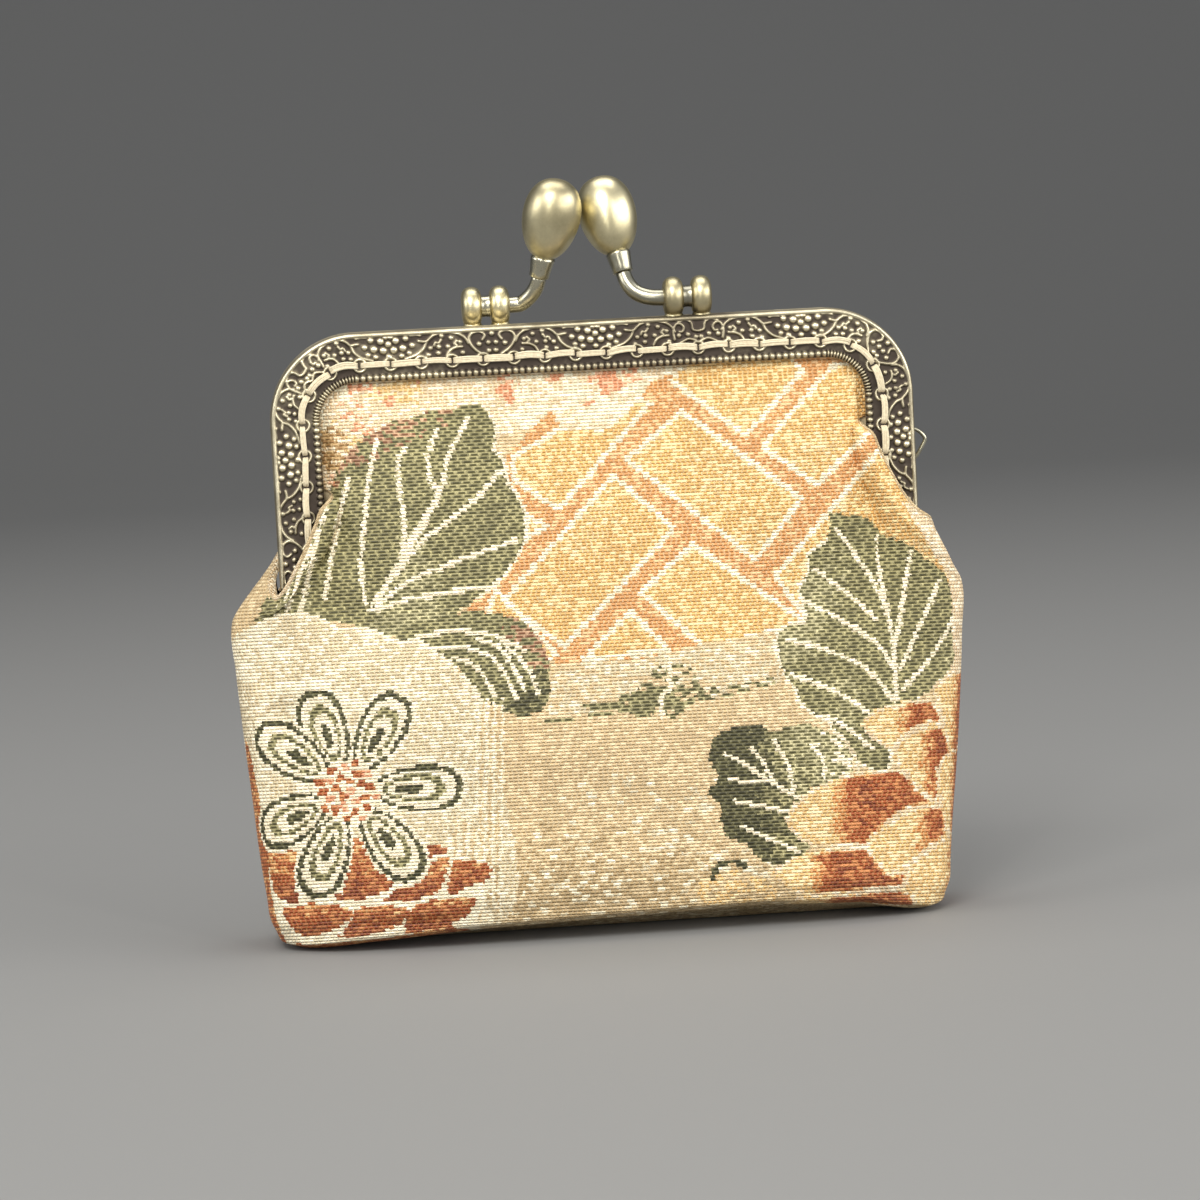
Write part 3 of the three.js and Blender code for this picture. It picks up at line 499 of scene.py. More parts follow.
# Flowers and clouds at the top left, in patches of pink, coral and amber
CLOUD = [
    (300, 330), (520, 320), (700, 330), (700, 420), (640, 440), (560, 430), (500, 440), (470, 500),
    (330, 560), (290, 480),
]
cloud = fill(CLOUD, "pale")
weave(cloud, "line", ramp(clouds(20, 12, 1), 0.3, 0.8) * 0.6)
weave(cloud & (draw_x < 480), "gold", ramp(clouds(34, 22, 2), 0.45, 0.8) * 0.6)
weave(cloud & (draw_x < 480), "blush", ramp(clouds(26, 16, 3), 0.55, 0.95) * 0.4)
BRONZE_BUD = [(328, 430), (345, 432), (352, 446), (346, 466), (336, 476), (326, 460)]
fill(BRONZE_BUD, "bronze", share=0.85)
# Lattice of planks
LATTICE = [
    (497, 470), (560, 405), (640, 360), (990, 330), (1010, 560), (800, 650), (568, 668), (470, 620),
    (490, 540),
]
fill(LATTICE, "band", smooth=False)
PLANKS = [
    [(685, 412), (805, 499), (759, 560), (630, 460)],
    [(617, 476), (677, 529), (568, 647), (507, 602)],
    [(696, 545), (811, 624), (708, 648), (645, 593)],
    [(653, 404), (562, 510), (517, 480), (516, 458), (566, 428), (606, 430), (640, 400)],
    [(676, 382), (749, 436), (806, 372), (790, 350), (680, 360)],
    [(836, 366), (766, 447), (820, 485), (885, 420), (880, 360)],
    [(881, 453), (779, 577), (812, 621), (880, 640), (960, 600), (950, 470)],
    [(634, 612), (587, 660), (672, 650)],
    [(524, 512), (550, 527), (506, 551), (500, 530)],
    [(500, 590), (560, 655), (540, 670), (480, 640)],
]
for plank in PLANKS:
    mask = fill(plank, "plank", smooth=False)
    weave(mask, "gold", ramp(clouds(40, 26, 4), 0.45, 0.9) * 0.55)
for plank in PLANKS:
    trace(plank, "line", 5.2, closed=True, smooth=False)
BELOW_LATTICE = [
    (566, 664), (640, 660), (700, 646), (780, 632), (800, 680), (800, 760), (560, 760), (540, 700),
]
fill(BELOW_LATTICE, "ground", smooth=False)
PALE_BAND = [(548, 676), (600, 660), (700, 648), (780, 636), (784, 682), (700, 700), (600, 712), (552, 716)]
fill(PALE_BAND, "cream", smooth=False, share=0.62)
# Blossom under the frame
BLOSSOM = [
    (494, 388), (500, 340), (690, 330), (690, 368), (660, 380), (646, 394), (632, 412), (612, 428),
    (588, 430), (566, 428), (548, 404), (520, 412), (500, 420),
]
blossom = fill(BLOSSOM, "pale")
weave(blossom, "line", ramp(clouds(14, 22, 5), 0.3, 0.8) * 0.85)
CORAL_SPOTS = [
    (512, 388, 16, 18), (560, 378, 12, 8), (612, 384, 24, 15), (634, 376, 18, 10), (590, 400, 10, 8),
    (470, 372, 14, 8),
]
for spot_x, spot_y, spot_wide, spot_high in CORAL_SPOTS:
    away = np.hypot((draw_x - spot_x) / spot_wide, (draw_y - spot_y) / spot_high)
    weave(blossom | cloud, "blush", (1 - ramp(away + clouds(9, 12, 6) * 0.5, 0.5, 1.35)) * 0.85)
PETAL_EDGES = [
    [(520, 400), (524, 386), (540, 376), (548, 384)],
    [(560, 420), (572, 404), (590, 396), (606, 404)],
    [(612, 412), (622, 396), (640, 384), (654, 386)],
    [(548, 400), (566, 392), (582, 380)],
]
for arc in PETAL_EDGES:
    trace(arc, "line", 4.5, within=blossom)
# Bands of mist with a small pine
MIST = [
    ([(548, 722), (600, 716), (643, 709), (704, 701), (778, 683)], 2.6),
    ([(588, 706), (620, 704), (640, 700), (660, 694)], 2.6),
    ([(704, 696), (740, 687), (776, 679)], 2.2),
]
for streak, width in MIST:
    trace(streak, "olive", width)
PINE = [
    (592, 708), (637, 692), (650, 678), (664, 667), (692, 666), (698, 676), (717, 684), (716, 694),
    (694, 705), (678, 718), (670, 716), (664, 704), (652, 719), (639, 716), (622, 711),
]
PINE_MIDDLE = 665
needles = ramp(draw_y + np.abs(draw_x - PINE_MIDDLE) * -0.25, 664, 700) * 0.75 + 0.2
weave(inside(rounded(PINE, True)), "olive", needles)
PINE_TRUNK = [(673, 662), (674, 685), (665, 699), (665, 717)]
trace(PINE_TRUNK, "line", 4.5)
# Large leaf at the left
LEAF = [
    (480, 405), (468, 406), (448, 412), (436, 412), (414, 418), (398, 420), (384, 430), (370, 436),
    (356, 450), (342, 468), (334, 490), (322, 514), (306, 545), (290, 566), (272, 576), (257, 590),
    (255, 612), (264, 626), (300, 618), (340, 622), (380, 632), (420, 640), (452, 618), (480, 600),
    (504, 580), (522, 556), (530, 530), (524, 500), (512, 484), (508, 462), (498, 450), (500, 430),
    (494, 416),
]
leaf = fill(LEAF, "olive")
LEAF_TIP = (352, 420)
from_tip = (draw_x - LEAF_TIP[0]) * 0.45 + (draw_y - LEAF_TIP[1]) * 0.9
weave(leaf, "sage", ramp(clouds(60, 46, 12) + (draw_y - 560) / 240, 0.45, 0.75) * 0.9)
weave(leaf & (draw_x < 480), "brown", (1 - ramp(from_tip + clouds(30, 16, 9) * 16, 16, 66)))
LEAF_VEINS = [
    [(380, 442), (372, 480), (368, 520), (365, 560), (368, 604)],
    [(408, 448), (401, 467), (406, 516), (404, 560), (376, 606)],
    [(440, 431), (432, 453), (432, 476), (442, 496), (430, 520), (408, 556)],
    [(472, 418), (451, 459), (446, 487), (432, 514), (413, 540), (406, 555)],
    [(505, 470), (478, 500), (448, 524), (420, 548), (382, 598)],
    [(520, 540), (488, 552), (450, 566), (412, 582), (380, 606)],
    [(500, 586), (456, 592), (412, 600), (372, 612)],
    [(352, 478), (340, 530), (328, 600)],
    [(330, 506), (320, 540), (304, 612)],
    [(318, 530), (306, 566), (290, 610)],
    [(300, 556), (288, 584), (280, 606)],
]
for vein in LEAF_VEINS:
    trace(vein, "line", 4.6, within=leaf)
trace(LEAF[23:33], "line", 3.5)
# Lower leaf
LOWER_LEAF = [
    (400, 634), (440, 618), (480, 612), (512, 616), (534, 628), (550, 652), (554, 682), (550, 704),
    (540, 714), (518, 716), (500, 706), (486, 700), (470, 676), (450, 660), (420, 648),
]
lower = fill(LOWER_LEAF, "olive")
weave(lower, "deep", ramp(draw_x * 0.6 + draw_y - 980, 0, 40) * 0.5)
worn_tip = ramp(draw_x - draw_y * 0.5 + clouds(20, 12, 10) * 14, 196, 222) * (draw_y < 668)
weave(lower, "brown", worn_tip * 0.7)
LOWER_VEINS = [
    [(412, 640), (450, 632), (490, 634), (528, 650)],
    [(440, 648), (470, 648), (500, 662), (520, 700)],
    [(480, 640), (505, 650), (528, 690)],
    [(500, 636), (530, 668), (542, 694)],
    [(456, 658), (480, 668), (500, 698)],
]
for vein in LOWER_VEINS:
    trace(vein, "line", 4.2, within=lower)
# Cream medallion and its stripes
MEDALLION = [
    (225, 640), (262, 624), (290, 615), (320, 618), (345, 630), (372, 630), (400, 642), (430, 646),
    (455, 666), (478, 690), (490, 718), (500, 760), (500, 930), (200, 960), (200, 660),
]
medallion = fill(MEDALLION, "cream")
# Light line yarn in patches over the left part of the medallion, fading to the right: partly its white
# stippling, partly a painted sheen
weave(medallion, "line", ramp(clouds(22, 16, 11), 0.4, 0.8) * (1 - ramp(draw_x, 300, 470)) * 0.9)
trace(MEDALLION[1:11], "line", 4)
LONG_STRIPES_FROM, STRIPE_FOOT = 478, 920
for stripe_x in (454, 463, 472, 481, 490, 498, 506):
    stripe_top = 700 if stripe_x > LONG_STRIPES_FROM else 800
    trace([(stripe_x, stripe_top), (stripe_x - 2, STRIPE_FOOT)], "line", 3, smooth=False, share=0.8)
for stripe_x in (459, 468, 477, 486, 494, 502):
    stripe_top = 706 if stripe_x > LONG_STRIPES_FROM else 820
    trace([(stripe_x, stripe_top), (stripe_x - 2, STRIPE_FOOT)], "ground", 3, smooth=False, share=0.9)
# Rust petals at the lower left
RUST = [
    (200, 740), (232, 745), (252, 770), (262, 840), (300, 850), (350, 846), (400, 852), (440, 848),
    (462, 858), (491, 862), (494, 884), (480, 925), (470, 1010), (180, 1010),
]
fill(RUST, "line")
SCALES = [
    [(230, 748), (250, 772), (262, 838), (268, 900), (280, 950), (240, 980), (200, 900)],
    [(266, 848), (296, 848), (298, 883), (300, 903), (276, 896), (268, 875)],
    [(350, 842), (372, 842), (380, 868), (402, 876), (392, 890), (366, 899), (336, 899), (348, 888)],
    [(408, 872), (436, 862), (452, 858), (448, 880), (436, 896), (412, 900), (386, 903), (400, 889)],
    [(424, 850), (440, 846), (452, 852), (430, 858)],
    [(459, 862), (492, 866), (491, 880), (474, 887), (453, 895)],
    [(284, 911), (310, 905), (331, 905), (354, 911), (345, 926), (311, 938), (295, 929)],
    [(364, 909), (410, 909), (402, 926), (372, 936), (342, 940), (352, 926)],
    [(416, 908), (445, 900), (478, 899), (470, 917), (444, 928), (410, 934)],
    [(290, 950), (330, 948), (400, 941), (460, 930), (470, 1000), (280, 1000)],
]
for scale_index, scale in enumerate(SCALES):
    mask = fill(scale, "rust")
    low = max(y for _, y in scale)
    weave(mask, "ember", ramp(draw_y + clouds(16, 9, 20 + scale_index) * 12, low - 22, low + 4) * 0.75)
    upper = 1 - ramp(draw_y + clouds(12, 9, 40 + scale_index) * 10, low - 30, low - 16)
    weave(mask, "amber", upper * 0.3)
# Seven-petalled flower
FLOWER = (352, 792)
# each ring of a petal: share of its length, half width, yarn
PETAL_RINGS = (
    (1.05, 31.5, "line"), (1.0, 28, "deep"), (0.94, 22.5, "line"), (0.85, 16.5, "olive"), (0.77, 11, "line"),
    (0.66, 5.5, "deep"),
)
# each petal: angle in degrees, length
FLOWER_PETALS = ((2.7, 114), (62, 110), (111, 108), (146, 112), (206, 104), (251, 112), (309, 110))
HEART_REACH, HEART_FLOATS = 31, 26
for angle, length in FLOWER_PETALS:
    a = math.radians(angle)
    ax, ay = math.cos(a), -math.sin(a)
    for outer, wide, yarn in PETAL_RINGS:
        start, end = 25 + (1 - outer) * 60, length * outer
        petal = []
        for step in range(24):
            b = 2 * math.pi * step / 24
            run = start + (end - start) * (0.5 - 0.5 * math.cos(b))
            bulge = math.copysign(abs(math.sin(b)) ** 0.85, math.sin(b))
            across = wide * bulge * (0.66 + 0.34 * (run - start) / (end - start))
            petal.append((FLOWER[0] + ax * run + ay * across, FLOWER[1] + ay * run - ax * across))
        fill(petal, yarn)
flower_heart = [
    (FLOWER[0] + HEART_REACH * math.cos(t), FLOWER[1] + HEART_REACH * math.sin(t))
    for t in np.linspace(0, 2 * math.pi, 14)[:-1]
]
fill(flower_heart, "line")
for step in range(HEART_FLOATS):
    spin, reach = step * 2.4, 2 + 5.7 * math.sqrt(step)
    spot = (FLOWER[0] + reach * math.cos(spin), FLOWER[1] + reach * math.sin(spin))
    trace([(spot[0] - 1, spot[1]), (spot[0] + 1, spot[1])], "rust" if step % 3 else "blush", 7.5)
# Leaf at the right
RIGHT_LEAF = [
    (834, 515), (852, 516), (872, 519), (884, 534), (902, 540), (918, 549), (930, 560), (943, 567),
    (955, 582), (960, 604), (959, 640), (962, 660), (945, 681), (921, 700), (900, 714), (896, 740),
    (890, 776), (870, 768), (850, 755), (834, 725), (818, 716), (803, 703), (798, 688), (788, 676),
    (779, 643), (790, 626), (809, 621), (806, 605), (803, 588), (812, 570), (812, 555), (831, 540),
]
BESIDE_LEAF = [
    (920, 500), (914, 512), (926, 528), (942, 556), (956, 584), (956, 650), (950, 690), (1060, 700),
    (1060, 470),
]
fill(BESIDE_LEAF, "pale")
right_leaf = fill(RIGHT_LEAF, "olive")
MIDRIB_X = 880
bleached = clouds(50, 40, 15) + np.abs(draw_x - MIDRIB_X) / 260 - (draw_y - 560) / 500
weave(right_leaf, "sage", ramp(bleached, 0.5, 0.85) * 0.9)
RIGHT_VEINS = [
    [(840, 530), (862, 560), (884, 596), (896, 640), (899, 703), (894, 760)],
    [(818, 570), (846, 590), (880, 620)],
    [(806, 600), (836, 616), (876, 640), (894, 664)],
    [(790, 640), (830, 650), (870, 670), (896, 700)],
    [(796, 676), (836, 690), (870, 712), (892, 740)],
    [(880, 536), (882, 566), (890, 610)],
    [(914, 552), (908, 590), (900, 640)],
    [(944, 580), (926, 620), (904, 670)],
    [(960, 620), (936, 656), (906, 690)],
    [(826, 716), (850, 728), (876, 750)],
]
for vein in RIGHT_VEINS:
    trace(vein, "line", 4.4, within=right_leaf)
trace(RIGHT_LEAF[13:], "line", 3)
# Small leaf
SMALL_LEAF = [
    (716, 739), (736, 728), (759, 725), (776, 732), (790, 728), (808, 724), (825, 730), (842, 738),
    (850, 747), (856, 769), (846, 780), (823, 785), (806, 796), (800, 812), (812, 840), (806, 860),
    (781, 865), (762, 858), (748, 843), (732, 838), (724, 821), (726, 808), (712, 793), (722, 778),
    (714, 762),
]
small_leaf = fill(SMALL_LEAF, "olive")
weave(small_leaf, "deep", 1 - ramp(draw_x, 745, 800) * 0.8)
weave(small_leaf, "sage", ramp(draw_x - draw_y * 0.3, 540, 600))
weave(small_leaf, "line", ramp(draw_x - draw_y * 0.3 + clouds(12, 9, 16) * 14, 600, 636) * 0.4)
SMALL_VEINS = [
    [(728, 754), (756, 770), (784, 788), (803, 799)],
    [(754, 748), (768, 766), (776, 780)],
    [(776, 740), (790, 762), (797, 790)],
    [(814, 744), (826, 760), (828, 778)],
    [(734, 780), (756, 783), (778, 781)],
    [(738, 802), (762, 806), (792, 812)],
    [(744, 826), (770, 838), (804, 852)],
]
for vein in SMALL_VEINS:
    trace(vein, "line", 4, within=small_leaf)
SMALL_LEAF_RIM = [(842, 734), (856, 752), (862, 775)]
trace(SMALL_LEAF_RIM, "cream", 5)
# Chrysanthemum at the lower right: each petal's outline, where its gold tip ends, where it is all rust
PETALS = [
    ([
        (936, 690), (952, 676), (980, 670), (1010, 690), (1010, 780), (966, 780), (950, 735),
        (944, 704),
    ], 0.5, 1.7),
    ([
        (865, 727), (875, 713), (896, 705), (923, 700), (940, 704), (948, 725), (932, 725), (911, 735),
        (896, 750), (884, 745),
    ], 0.3, 0.75),
    ([
        (896, 750), (911, 735), (932, 725), (950, 728), (960, 753), (946, 769), (945, 787), (948, 806),
        (923, 791), (909, 775), (900, 762),
    ], 0.3, 0.8),
    ([(944, 770), (960, 752), (1010, 750), (1010, 830), (957, 830), (948, 806)], 0.5, 1.8),
    ([
        (789, 821), (800, 803), (825, 785), (861, 773), (905, 770), (923, 791), (948, 805), (914, 810),
        (889, 825), (868, 846), (825, 846), (805, 841),
    ], 0.18, 0.52),
    ([
        (777, 873), (793, 860), (825, 850), (866, 846), (880, 858), (893, 873), (911, 873), (907, 887),
        (879, 891), (843, 896), (807, 896), (786, 884),
    ], 0.18, 0.48),
    ([
        (869, 842), (889, 825), (914, 810), (948, 805), (957, 834), (932, 851), (909, 869), (893, 873),
        (876, 860),
    ], 0.42, 0.95),
    ([
        (907, 887), (914, 866), (932, 851), (957, 836), (1010, 830), (1010, 920), (920, 920),
        (908, 904),
    ], 0.6, 1.8),
    ([(800, 900), (843, 896), (908, 890), (910, 920), (800, 940)], 0.1, 0.5),
]
CLOTH_RIGHT = 965
for petal_index, (outline, gold_end, rust_start) in enumerate(PETALS):
    mask = fill(outline, "gold")
    low_x, high_x = min(x for x, _ in outline), min(max(x for x, _ in outline), CLOTH_RIGHT)
    share = (draw_x - low_x) / (high_x - low_x)
    edge_line = rounded(outline, True)
    edge = reach_of(np.vstack([edge_line, edge_line[:1]]))
    grain = clouds(26, 5, 60 + petal_index, lean=-0.6) * 0.2 - 0.1 + (dashes - 0.5) * 0.3
    depth = ramp(share, gold_end, rust_start) * ramp(edge, 1, 7) + grain
    weave(mask & (depth > 0.3), "amber")
    weave(mask & (depth > 0.62), "rust")
    weave(mask & (depth > 1.02) & (edge > 7), "ember")
    weave(mask & (edge < 3.4), "pale", 0.8)
GOLD_BUD = [(700, 884), (716, 876), (740, 872), (768, 880), (780, 892), (776, 905), (740, 910), (704, 902)]
fill(GOLD_BUD, "gold", share=0.7)
BUD_STALK = [(716, 878), (722, 866), (736, 862), (748, 866)]
trace(BUD_STALK, "deep", 6)
# The plain part is painted darker towards the bottom, a painted shade where the cloth turns under, with
# light floats scattered over it
PLAIN_TOP, PLAIN_LEFT, PLAIN_RIGHT = 740, 500, 830
plain = (chart == 0) & (draw_y > PLAIN_TOP)
plain_share = ramp(draw_x + clouds(24, 16, 93) * 60, PLAIN_LEFT, PLAIN_LEFT + 90)
plain_share *= ramp(PLAIN_RIGHT - draw_x, 0, 60)
# painted shade: darker ground yarn towards the bottom
weave(plain, "shaded_ground", ramp(draw_y + clouds(40, 24, 92) * 30, 820, 905) * 0.9 * plain_share)
for yarn, seed, share in (("cream", 90, 0.2), ("line", 91, 0.1)):
    slanting = draw_y + (draw_x - 600) * 0.3 + clouds(30, 20, seed) * 60
    weave(plain, yarn, ramp(slanting, 790, 900) * share * plain_share)


def cloth_colours(u, v, flip):
    """Face and binding colours at cloth coordinates, one pair to each thread."""
    row = np.floor((v - CHART_TOP) / THREAD_HIGH).astype(int)
    shift = (row % 2) * 0.5
    column = np.floor((u - CHART_LEFT) / THREAD_WIDE + shift).astype(int)
    if flip:
        column = CHART_COLUMNS - 1 - column
    row = row % CHART_ROWS
    column = column % CHART_COLUMNS
    yarn = chart[row, column]
    tint = (0.92 + 0.16 * scatter[row, column])[:, None]
    face = np.array([YARNS[name][0] for name in YARN_NAMES])[yarn] * tint
    # binding colour: the real binding thread, and in the bright yarns also a painted silk highlight
    binding_and_highlight = np.array([YARNS[name][1] for name in YARN_NAMES])[yarn] * tint
    open_rows = np.array([YARNS[name][2] for name in YARN_NAMES])[yarn]
    return face, binding_and_highlight, open_rows


def figure_cloth(piece, quads, u, v, flip):
    """Gives a cloth mesh its yarn colours and weave coordinates."""
    mesh = piece.data
    uv = np.stack([u.ravel(), v.ravel()], axis=1)
    centre = uv[quads].mean(axis=1)
    face, binding_and_highlight, open_rows = cloth_colours(centre[:, 0], centre[:, 1], flip)
    for layer_name, colour in (("yarn", face), ("binding_and_highlight", binding_and_highlight)):
        rgba = np.concatenate([colour, open_rows[:, None]], axis=1)
        layer = mesh.color_attributes.new(layer_name, "FLOAT_COLOR", "CORNER")
        layer.data.foreach_set("color", np.repeat(rgba, 4, axis=0).astype(np.float32).ravel())
    weave_map = mesh.uv_layers.new(name="weave")
    weave_map.data.foreach_set("uv", uv[quads].reshape(-1, 2).astype(np.float32).ravel())


def new_material(name):
    """Material with its node tree and its shader."""
    material = bpy.data.materials.new(name)
    material.use_nodes = True
    tree = material.node_tree
    return material, tree, tree.nodes["Principled BSDF"]


def math_node(tree, kind, first, second=None, third=None):
    """Result of one sum on values or sockets."""
    node = tree.nodes.new("ShaderNodeMath")
    node.operation = kind
    for socket, value in zip(node.inputs, (first, second, third)):
        if value is None:
            continue
        if isinstance(value, (int, float)):
            socket.default_value = value
        else:
            tree.links.new(value, socket)
    return node.outputs[0]


def mixed_colour(tree, share, first, second, blend="MIX"):
    """Colour between two colours or sockets."""
    node = tree.nodes.new("ShaderNodeMix")
    node.data_type = "RGBA"
    node.blend_type = blend
    for number, value in ((0, share), (6, first), (7, second)):
        socket = node.inputs[number]
        if isinstance(value, (int, float)):
            socket.default_value = value
        elif isinstance(value, tuple):
            socket.default_value = value + (1.0,)
        else:
            tree.links.new(value, socket)
    return node.outputs[2]


def noise_over(tree, scale, detail, roughness=0.5):
    """Noise that is fixed to the piece."""
    place = tree.nodes.new("ShaderNodeTexCoord")
    noise = tree.nodes.new("ShaderNodeTexNoise")
    noise.inputs["Scale"].default_value = scale
    noise.inputs["Detail"].default_value = detail
    noise.inputs["Roughness"].default_value = roughness
    tree.links.new(place.outputs["Object"], noise.inputs["Vector"])
    return noise.outputs["Fac"]


def chance_of(tree, dimensions, socket, value):
    """One random value for each whole number or pair of them."""
    node = tree.nodes.new("ShaderNodeTexWhiteNoise")
    node.noise_dimensions = dimensions
    tree.links.new(value, node.inputs[socket])
    return node.outputs[0]


def eased(tree, value, low, high):
    """Share that eases from 0 to 1 between two levels."""
    node = tree.nodes.new("ShaderNodeMapRange")
    node.interpolation_type = "SMOOTHSTEP"
    node.inputs["From Min"].default_value = low
    node.inputs["From Max"].default_value = high
    tree.links.new(value, node.inputs["Value"])
    return node.outputs[0]


def darkened(tree, colour, lightness):
    """Colour times one lightness for all three of its parts."""
    grey = tree.nodes.new("ShaderNodeCombineColor")
    for k in range(3):
        tree.links.new(lightness, grey.inputs[k])
    return mixed_colour(tree, 1.0, colour, grey.outputs[0], "MULTIPLY")


def raise_surface(tree, shader, height, strength, distance):
    """Fine relief from a height."""
    bump = tree.nodes.new("ShaderNodeBump")
    bump.inputs["Strength"].default_value = strength
    bump.inputs["Distance"].default_value = distance
    tree.links.new(height, bump.inputs["Height"])
    tree.links.new(bump.outputs[0], shader.inputs["Normal"])


brocade, tree, shader = new_material("silk_brocade")
yarn_node = tree.nodes.new("ShaderNodeVertexColor")
yarn_node.layer_name = "yarn"
binding_and_highlight_node = tree.nodes.new("ShaderNodeVertexColor")
binding_and_highlight_node.layer_name = "binding_and_highlight"
weave_node = tree.nodes.new("ShaderNodeUVMap")
weave_node.uv_map = "weave"
split = tree.nodes.new("ShaderNodeSeparateXYZ")
tree.links.new(weave_node.outputs[0], split.inputs[0])
open_rows = yarn_node.outputs[1]
pick_v = math_node(tree, "DIVIDE", split.outputs[1], THREAD_HIGH)
pick_row = math_node(tree, "FLOOR", pick_v)
across = math_node(tree, "FRACT", pick_v)
row_shift = math_node(tree, "MULTIPLY", chance_of(tree, "1D", "W", pick_row), 0.45)
step_shift = math_node(tree, "MULTIPLY_ADD", pick_row, 0.5, row_shift)
# Floats are 0.66 mm long in the bright yarns and about 1.4 mm in the dark ones
pick_length = math_node(tree, "MULTIPLY_ADD", open_rows, 0.75, 0.66)
pick_u = math_node(tree, "ADD", math_node(tree, "DIVIDE", split.outputs[0], pick_length), step_shift)
pick_column = math_node(tree, "FLOOR", pick_u)
lengthwise = math_node(tree, "FRACT", pick_u)
off_row = math_node(tree, "ABSOLUTE", math_node(tree, "MULTIPLY_ADD", across, 2, -1))
off_end = math_node(tree, "ABSOLUTE", math_node(tree, "MULTIPLY_ADD", lengthwise, 2, -1))
row_round = math_node(tree, "SUBTRACT", 1, math_node(tree, "POWER", off_row, 2))
end_round = math_node(tree, "SUBTRACT", 1, math_node(tree, "POWER", off_end, 4))
thread_height = math_node(tree, "MULTIPLY", row_round, end_round)
pick = tree.nodes.new("ShaderNodeCombineXYZ")
tree.links.new(pick_column, pick.inputs[0])
tree.links.new(pick_row, pick.inputs[1])
chance = chance_of(tree, "2D", 0, pick.outputs[0])
# The binding thread shows as a small light dot at the end of each float, and all along the row in the dark
# yarns. Each dot is partly the binding thread and partly a painted silk highlight.
dot = eased(tree, off_end, 0.5, 0.8)
dot_share = math_node(tree, "MULTIPLY", dot, math_node(tree, "MULTIPLY_ADD", chance, 0.5, 0.35))
between = eased(tree, off_row, 0.35, 0.85)
row_light = math_node(tree, "MULTIPLY_ADD", chance, 0.35, 0.7)
row_share = math_node(tree, "MULTIPLY", between, math_node(tree, "MULTIPLY", open_rows, row_light))
# Three in ten of the floats of the bright yarns are painted as light as the binding, a painted silk
# highlight on single floats
chosen = math_node(tree, "GREATER_THAN", chance, 0.7)
float_highlight = math_node(tree, "MULTIPLY", chosen, math_node(tree, "MULTIPLY_ADD", open_rows, -0.6, 0.6))
light_share = math_node(tree, "MAXIMUM", float_highlight, math_node(tree, "MAXIMUM", dot_share, row_share))
bound = mixed_colour(tree, light_share, yarn_node.outputs[0], binding_and_highlight_node.outputs[0])
# The gaps between the rows are in shade, except where a dot crosses them
gap_share = math_node(tree, "MULTIPLY", between, math_node(tree, "MULTIPLY_ADD", open_rows, -0.6, 0.62))
undotted = math_node(tree, "SUBTRACT", 1, math_node(tree, "MULTIPLY", dot, 0.6))
gap_share = math_node(tree, "MULTIPLY", gap_share, undotted)
shaded = mixed_colour(tree, gap_share, bound, (0.55, 0.40, 0.24), "MULTIPLY")
lively = darkened(tree, shaded, math_node(tree, "MULTIPLY_ADD", chance, 0.3, 0.87))
patches = math_node(tree, "MULTIPLY_ADD", noise_over(tree, 60, 4), 0.36, 0.82)
tree.links.new(darkened(tree, lively, patches), shader.inputs["Base Color"])
raise_surface(tree, shader, thread_height, 0.8, 0.00025)
shader.inputs["Roughness"].default_value = 0.46
shader.inputs["Specular IOR Level"].default_value = 0.4

FRONT_CELL, BACK_CELL = ((0.25, 0.45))


def cloth_wall(name, cell, mirrored, flip, parts):
    """One wall of the pouch as fine meshes side by side, with its hem turned in."""
    net, u, v = dense_wall(cell)
    counts = cell_counts(panel_net(0, SPRING_STEPS, BODY_DROPS)[GIRTH_ROW], cell)
    inner = refine(panel_net(1, (0.5,), (BODY_DROPS[0], BODY_DROPS[-1]))[:3], counts)
    curl = curled_hem(net, inner[0])
    net = np.concatenate([inner[2:0:-1], curl, net])
    extra = len(net) - len(u)
    u = np.concatenate([np.repeat(u[:1], extra, axis=0), u])
    v = np.concatenate([v[:1] - np.arange(extra, 0, -1)[:, None] * 0.3, v])
    if mirrored:
        net = net * np.array([1, -1, 1])
        net, u, v = net[:, ::-1], u[:, ::-1], v[:, ::-1]
    cols = net.shape[1]
    cuts = [round(cols * k / parts) for k in range(parts + 1)]
    made = []
    for k in range(parts):
        part = slice(cuts[k], min(cuts[k + 1] + 1, cols))
        label = name if parts == 1 else name + "_" + ("left", "middle", "right")[k]
        piece, quads = grid_object(label, net[:, part])
        figure_cloth(piece, quads, u[:, part], v[:, part], flip)
        piece.data.materials.append(brocade)
        made.append(piece)
    return made


front_pieces = cloth_wall("cloth_front", FRONT_CELL, False, False, 3)
back_pieces = cloth_wall("cloth_back", BACK_CELL, True, True, 1)
for cloth_piece in front_pieces:
    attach(cloth_piece, "root")
    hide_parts("front_panel")
for cloth_piece in back_pieces:
    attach(cloth_piece, "root")
    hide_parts("back_panel")

# The frame
# Two U-shaped halves of stamped brass, joined at the ends of their arms. Each face is embossed with
# scrolls, hearts, shields and clusters of berries, with a ring round every stitch hole and a row of
# small beads along the inner edge, then darkened and rubbed bright on the high parts.

ARM_END = 32.9
FLANGE_END = 28.0
# the slanted end of an arm: half width, drop
SLANT_X = [35.9, 36.3, 37.2, 39.0, 40.6, 41.8, 42.6]
SLANT_DROP = [22.6, 22.9, 25.6, 29.2, 31.9, ARM_END, ARM_END]
ARC = FRAME_CORNER * math.pi / 2
EDGE_LENGTH = STRAIGHT + ARC + ARM_END - FRAME_CORNER
HOLE_PITCH, HOLE_INWARD = 4.05, 4.3

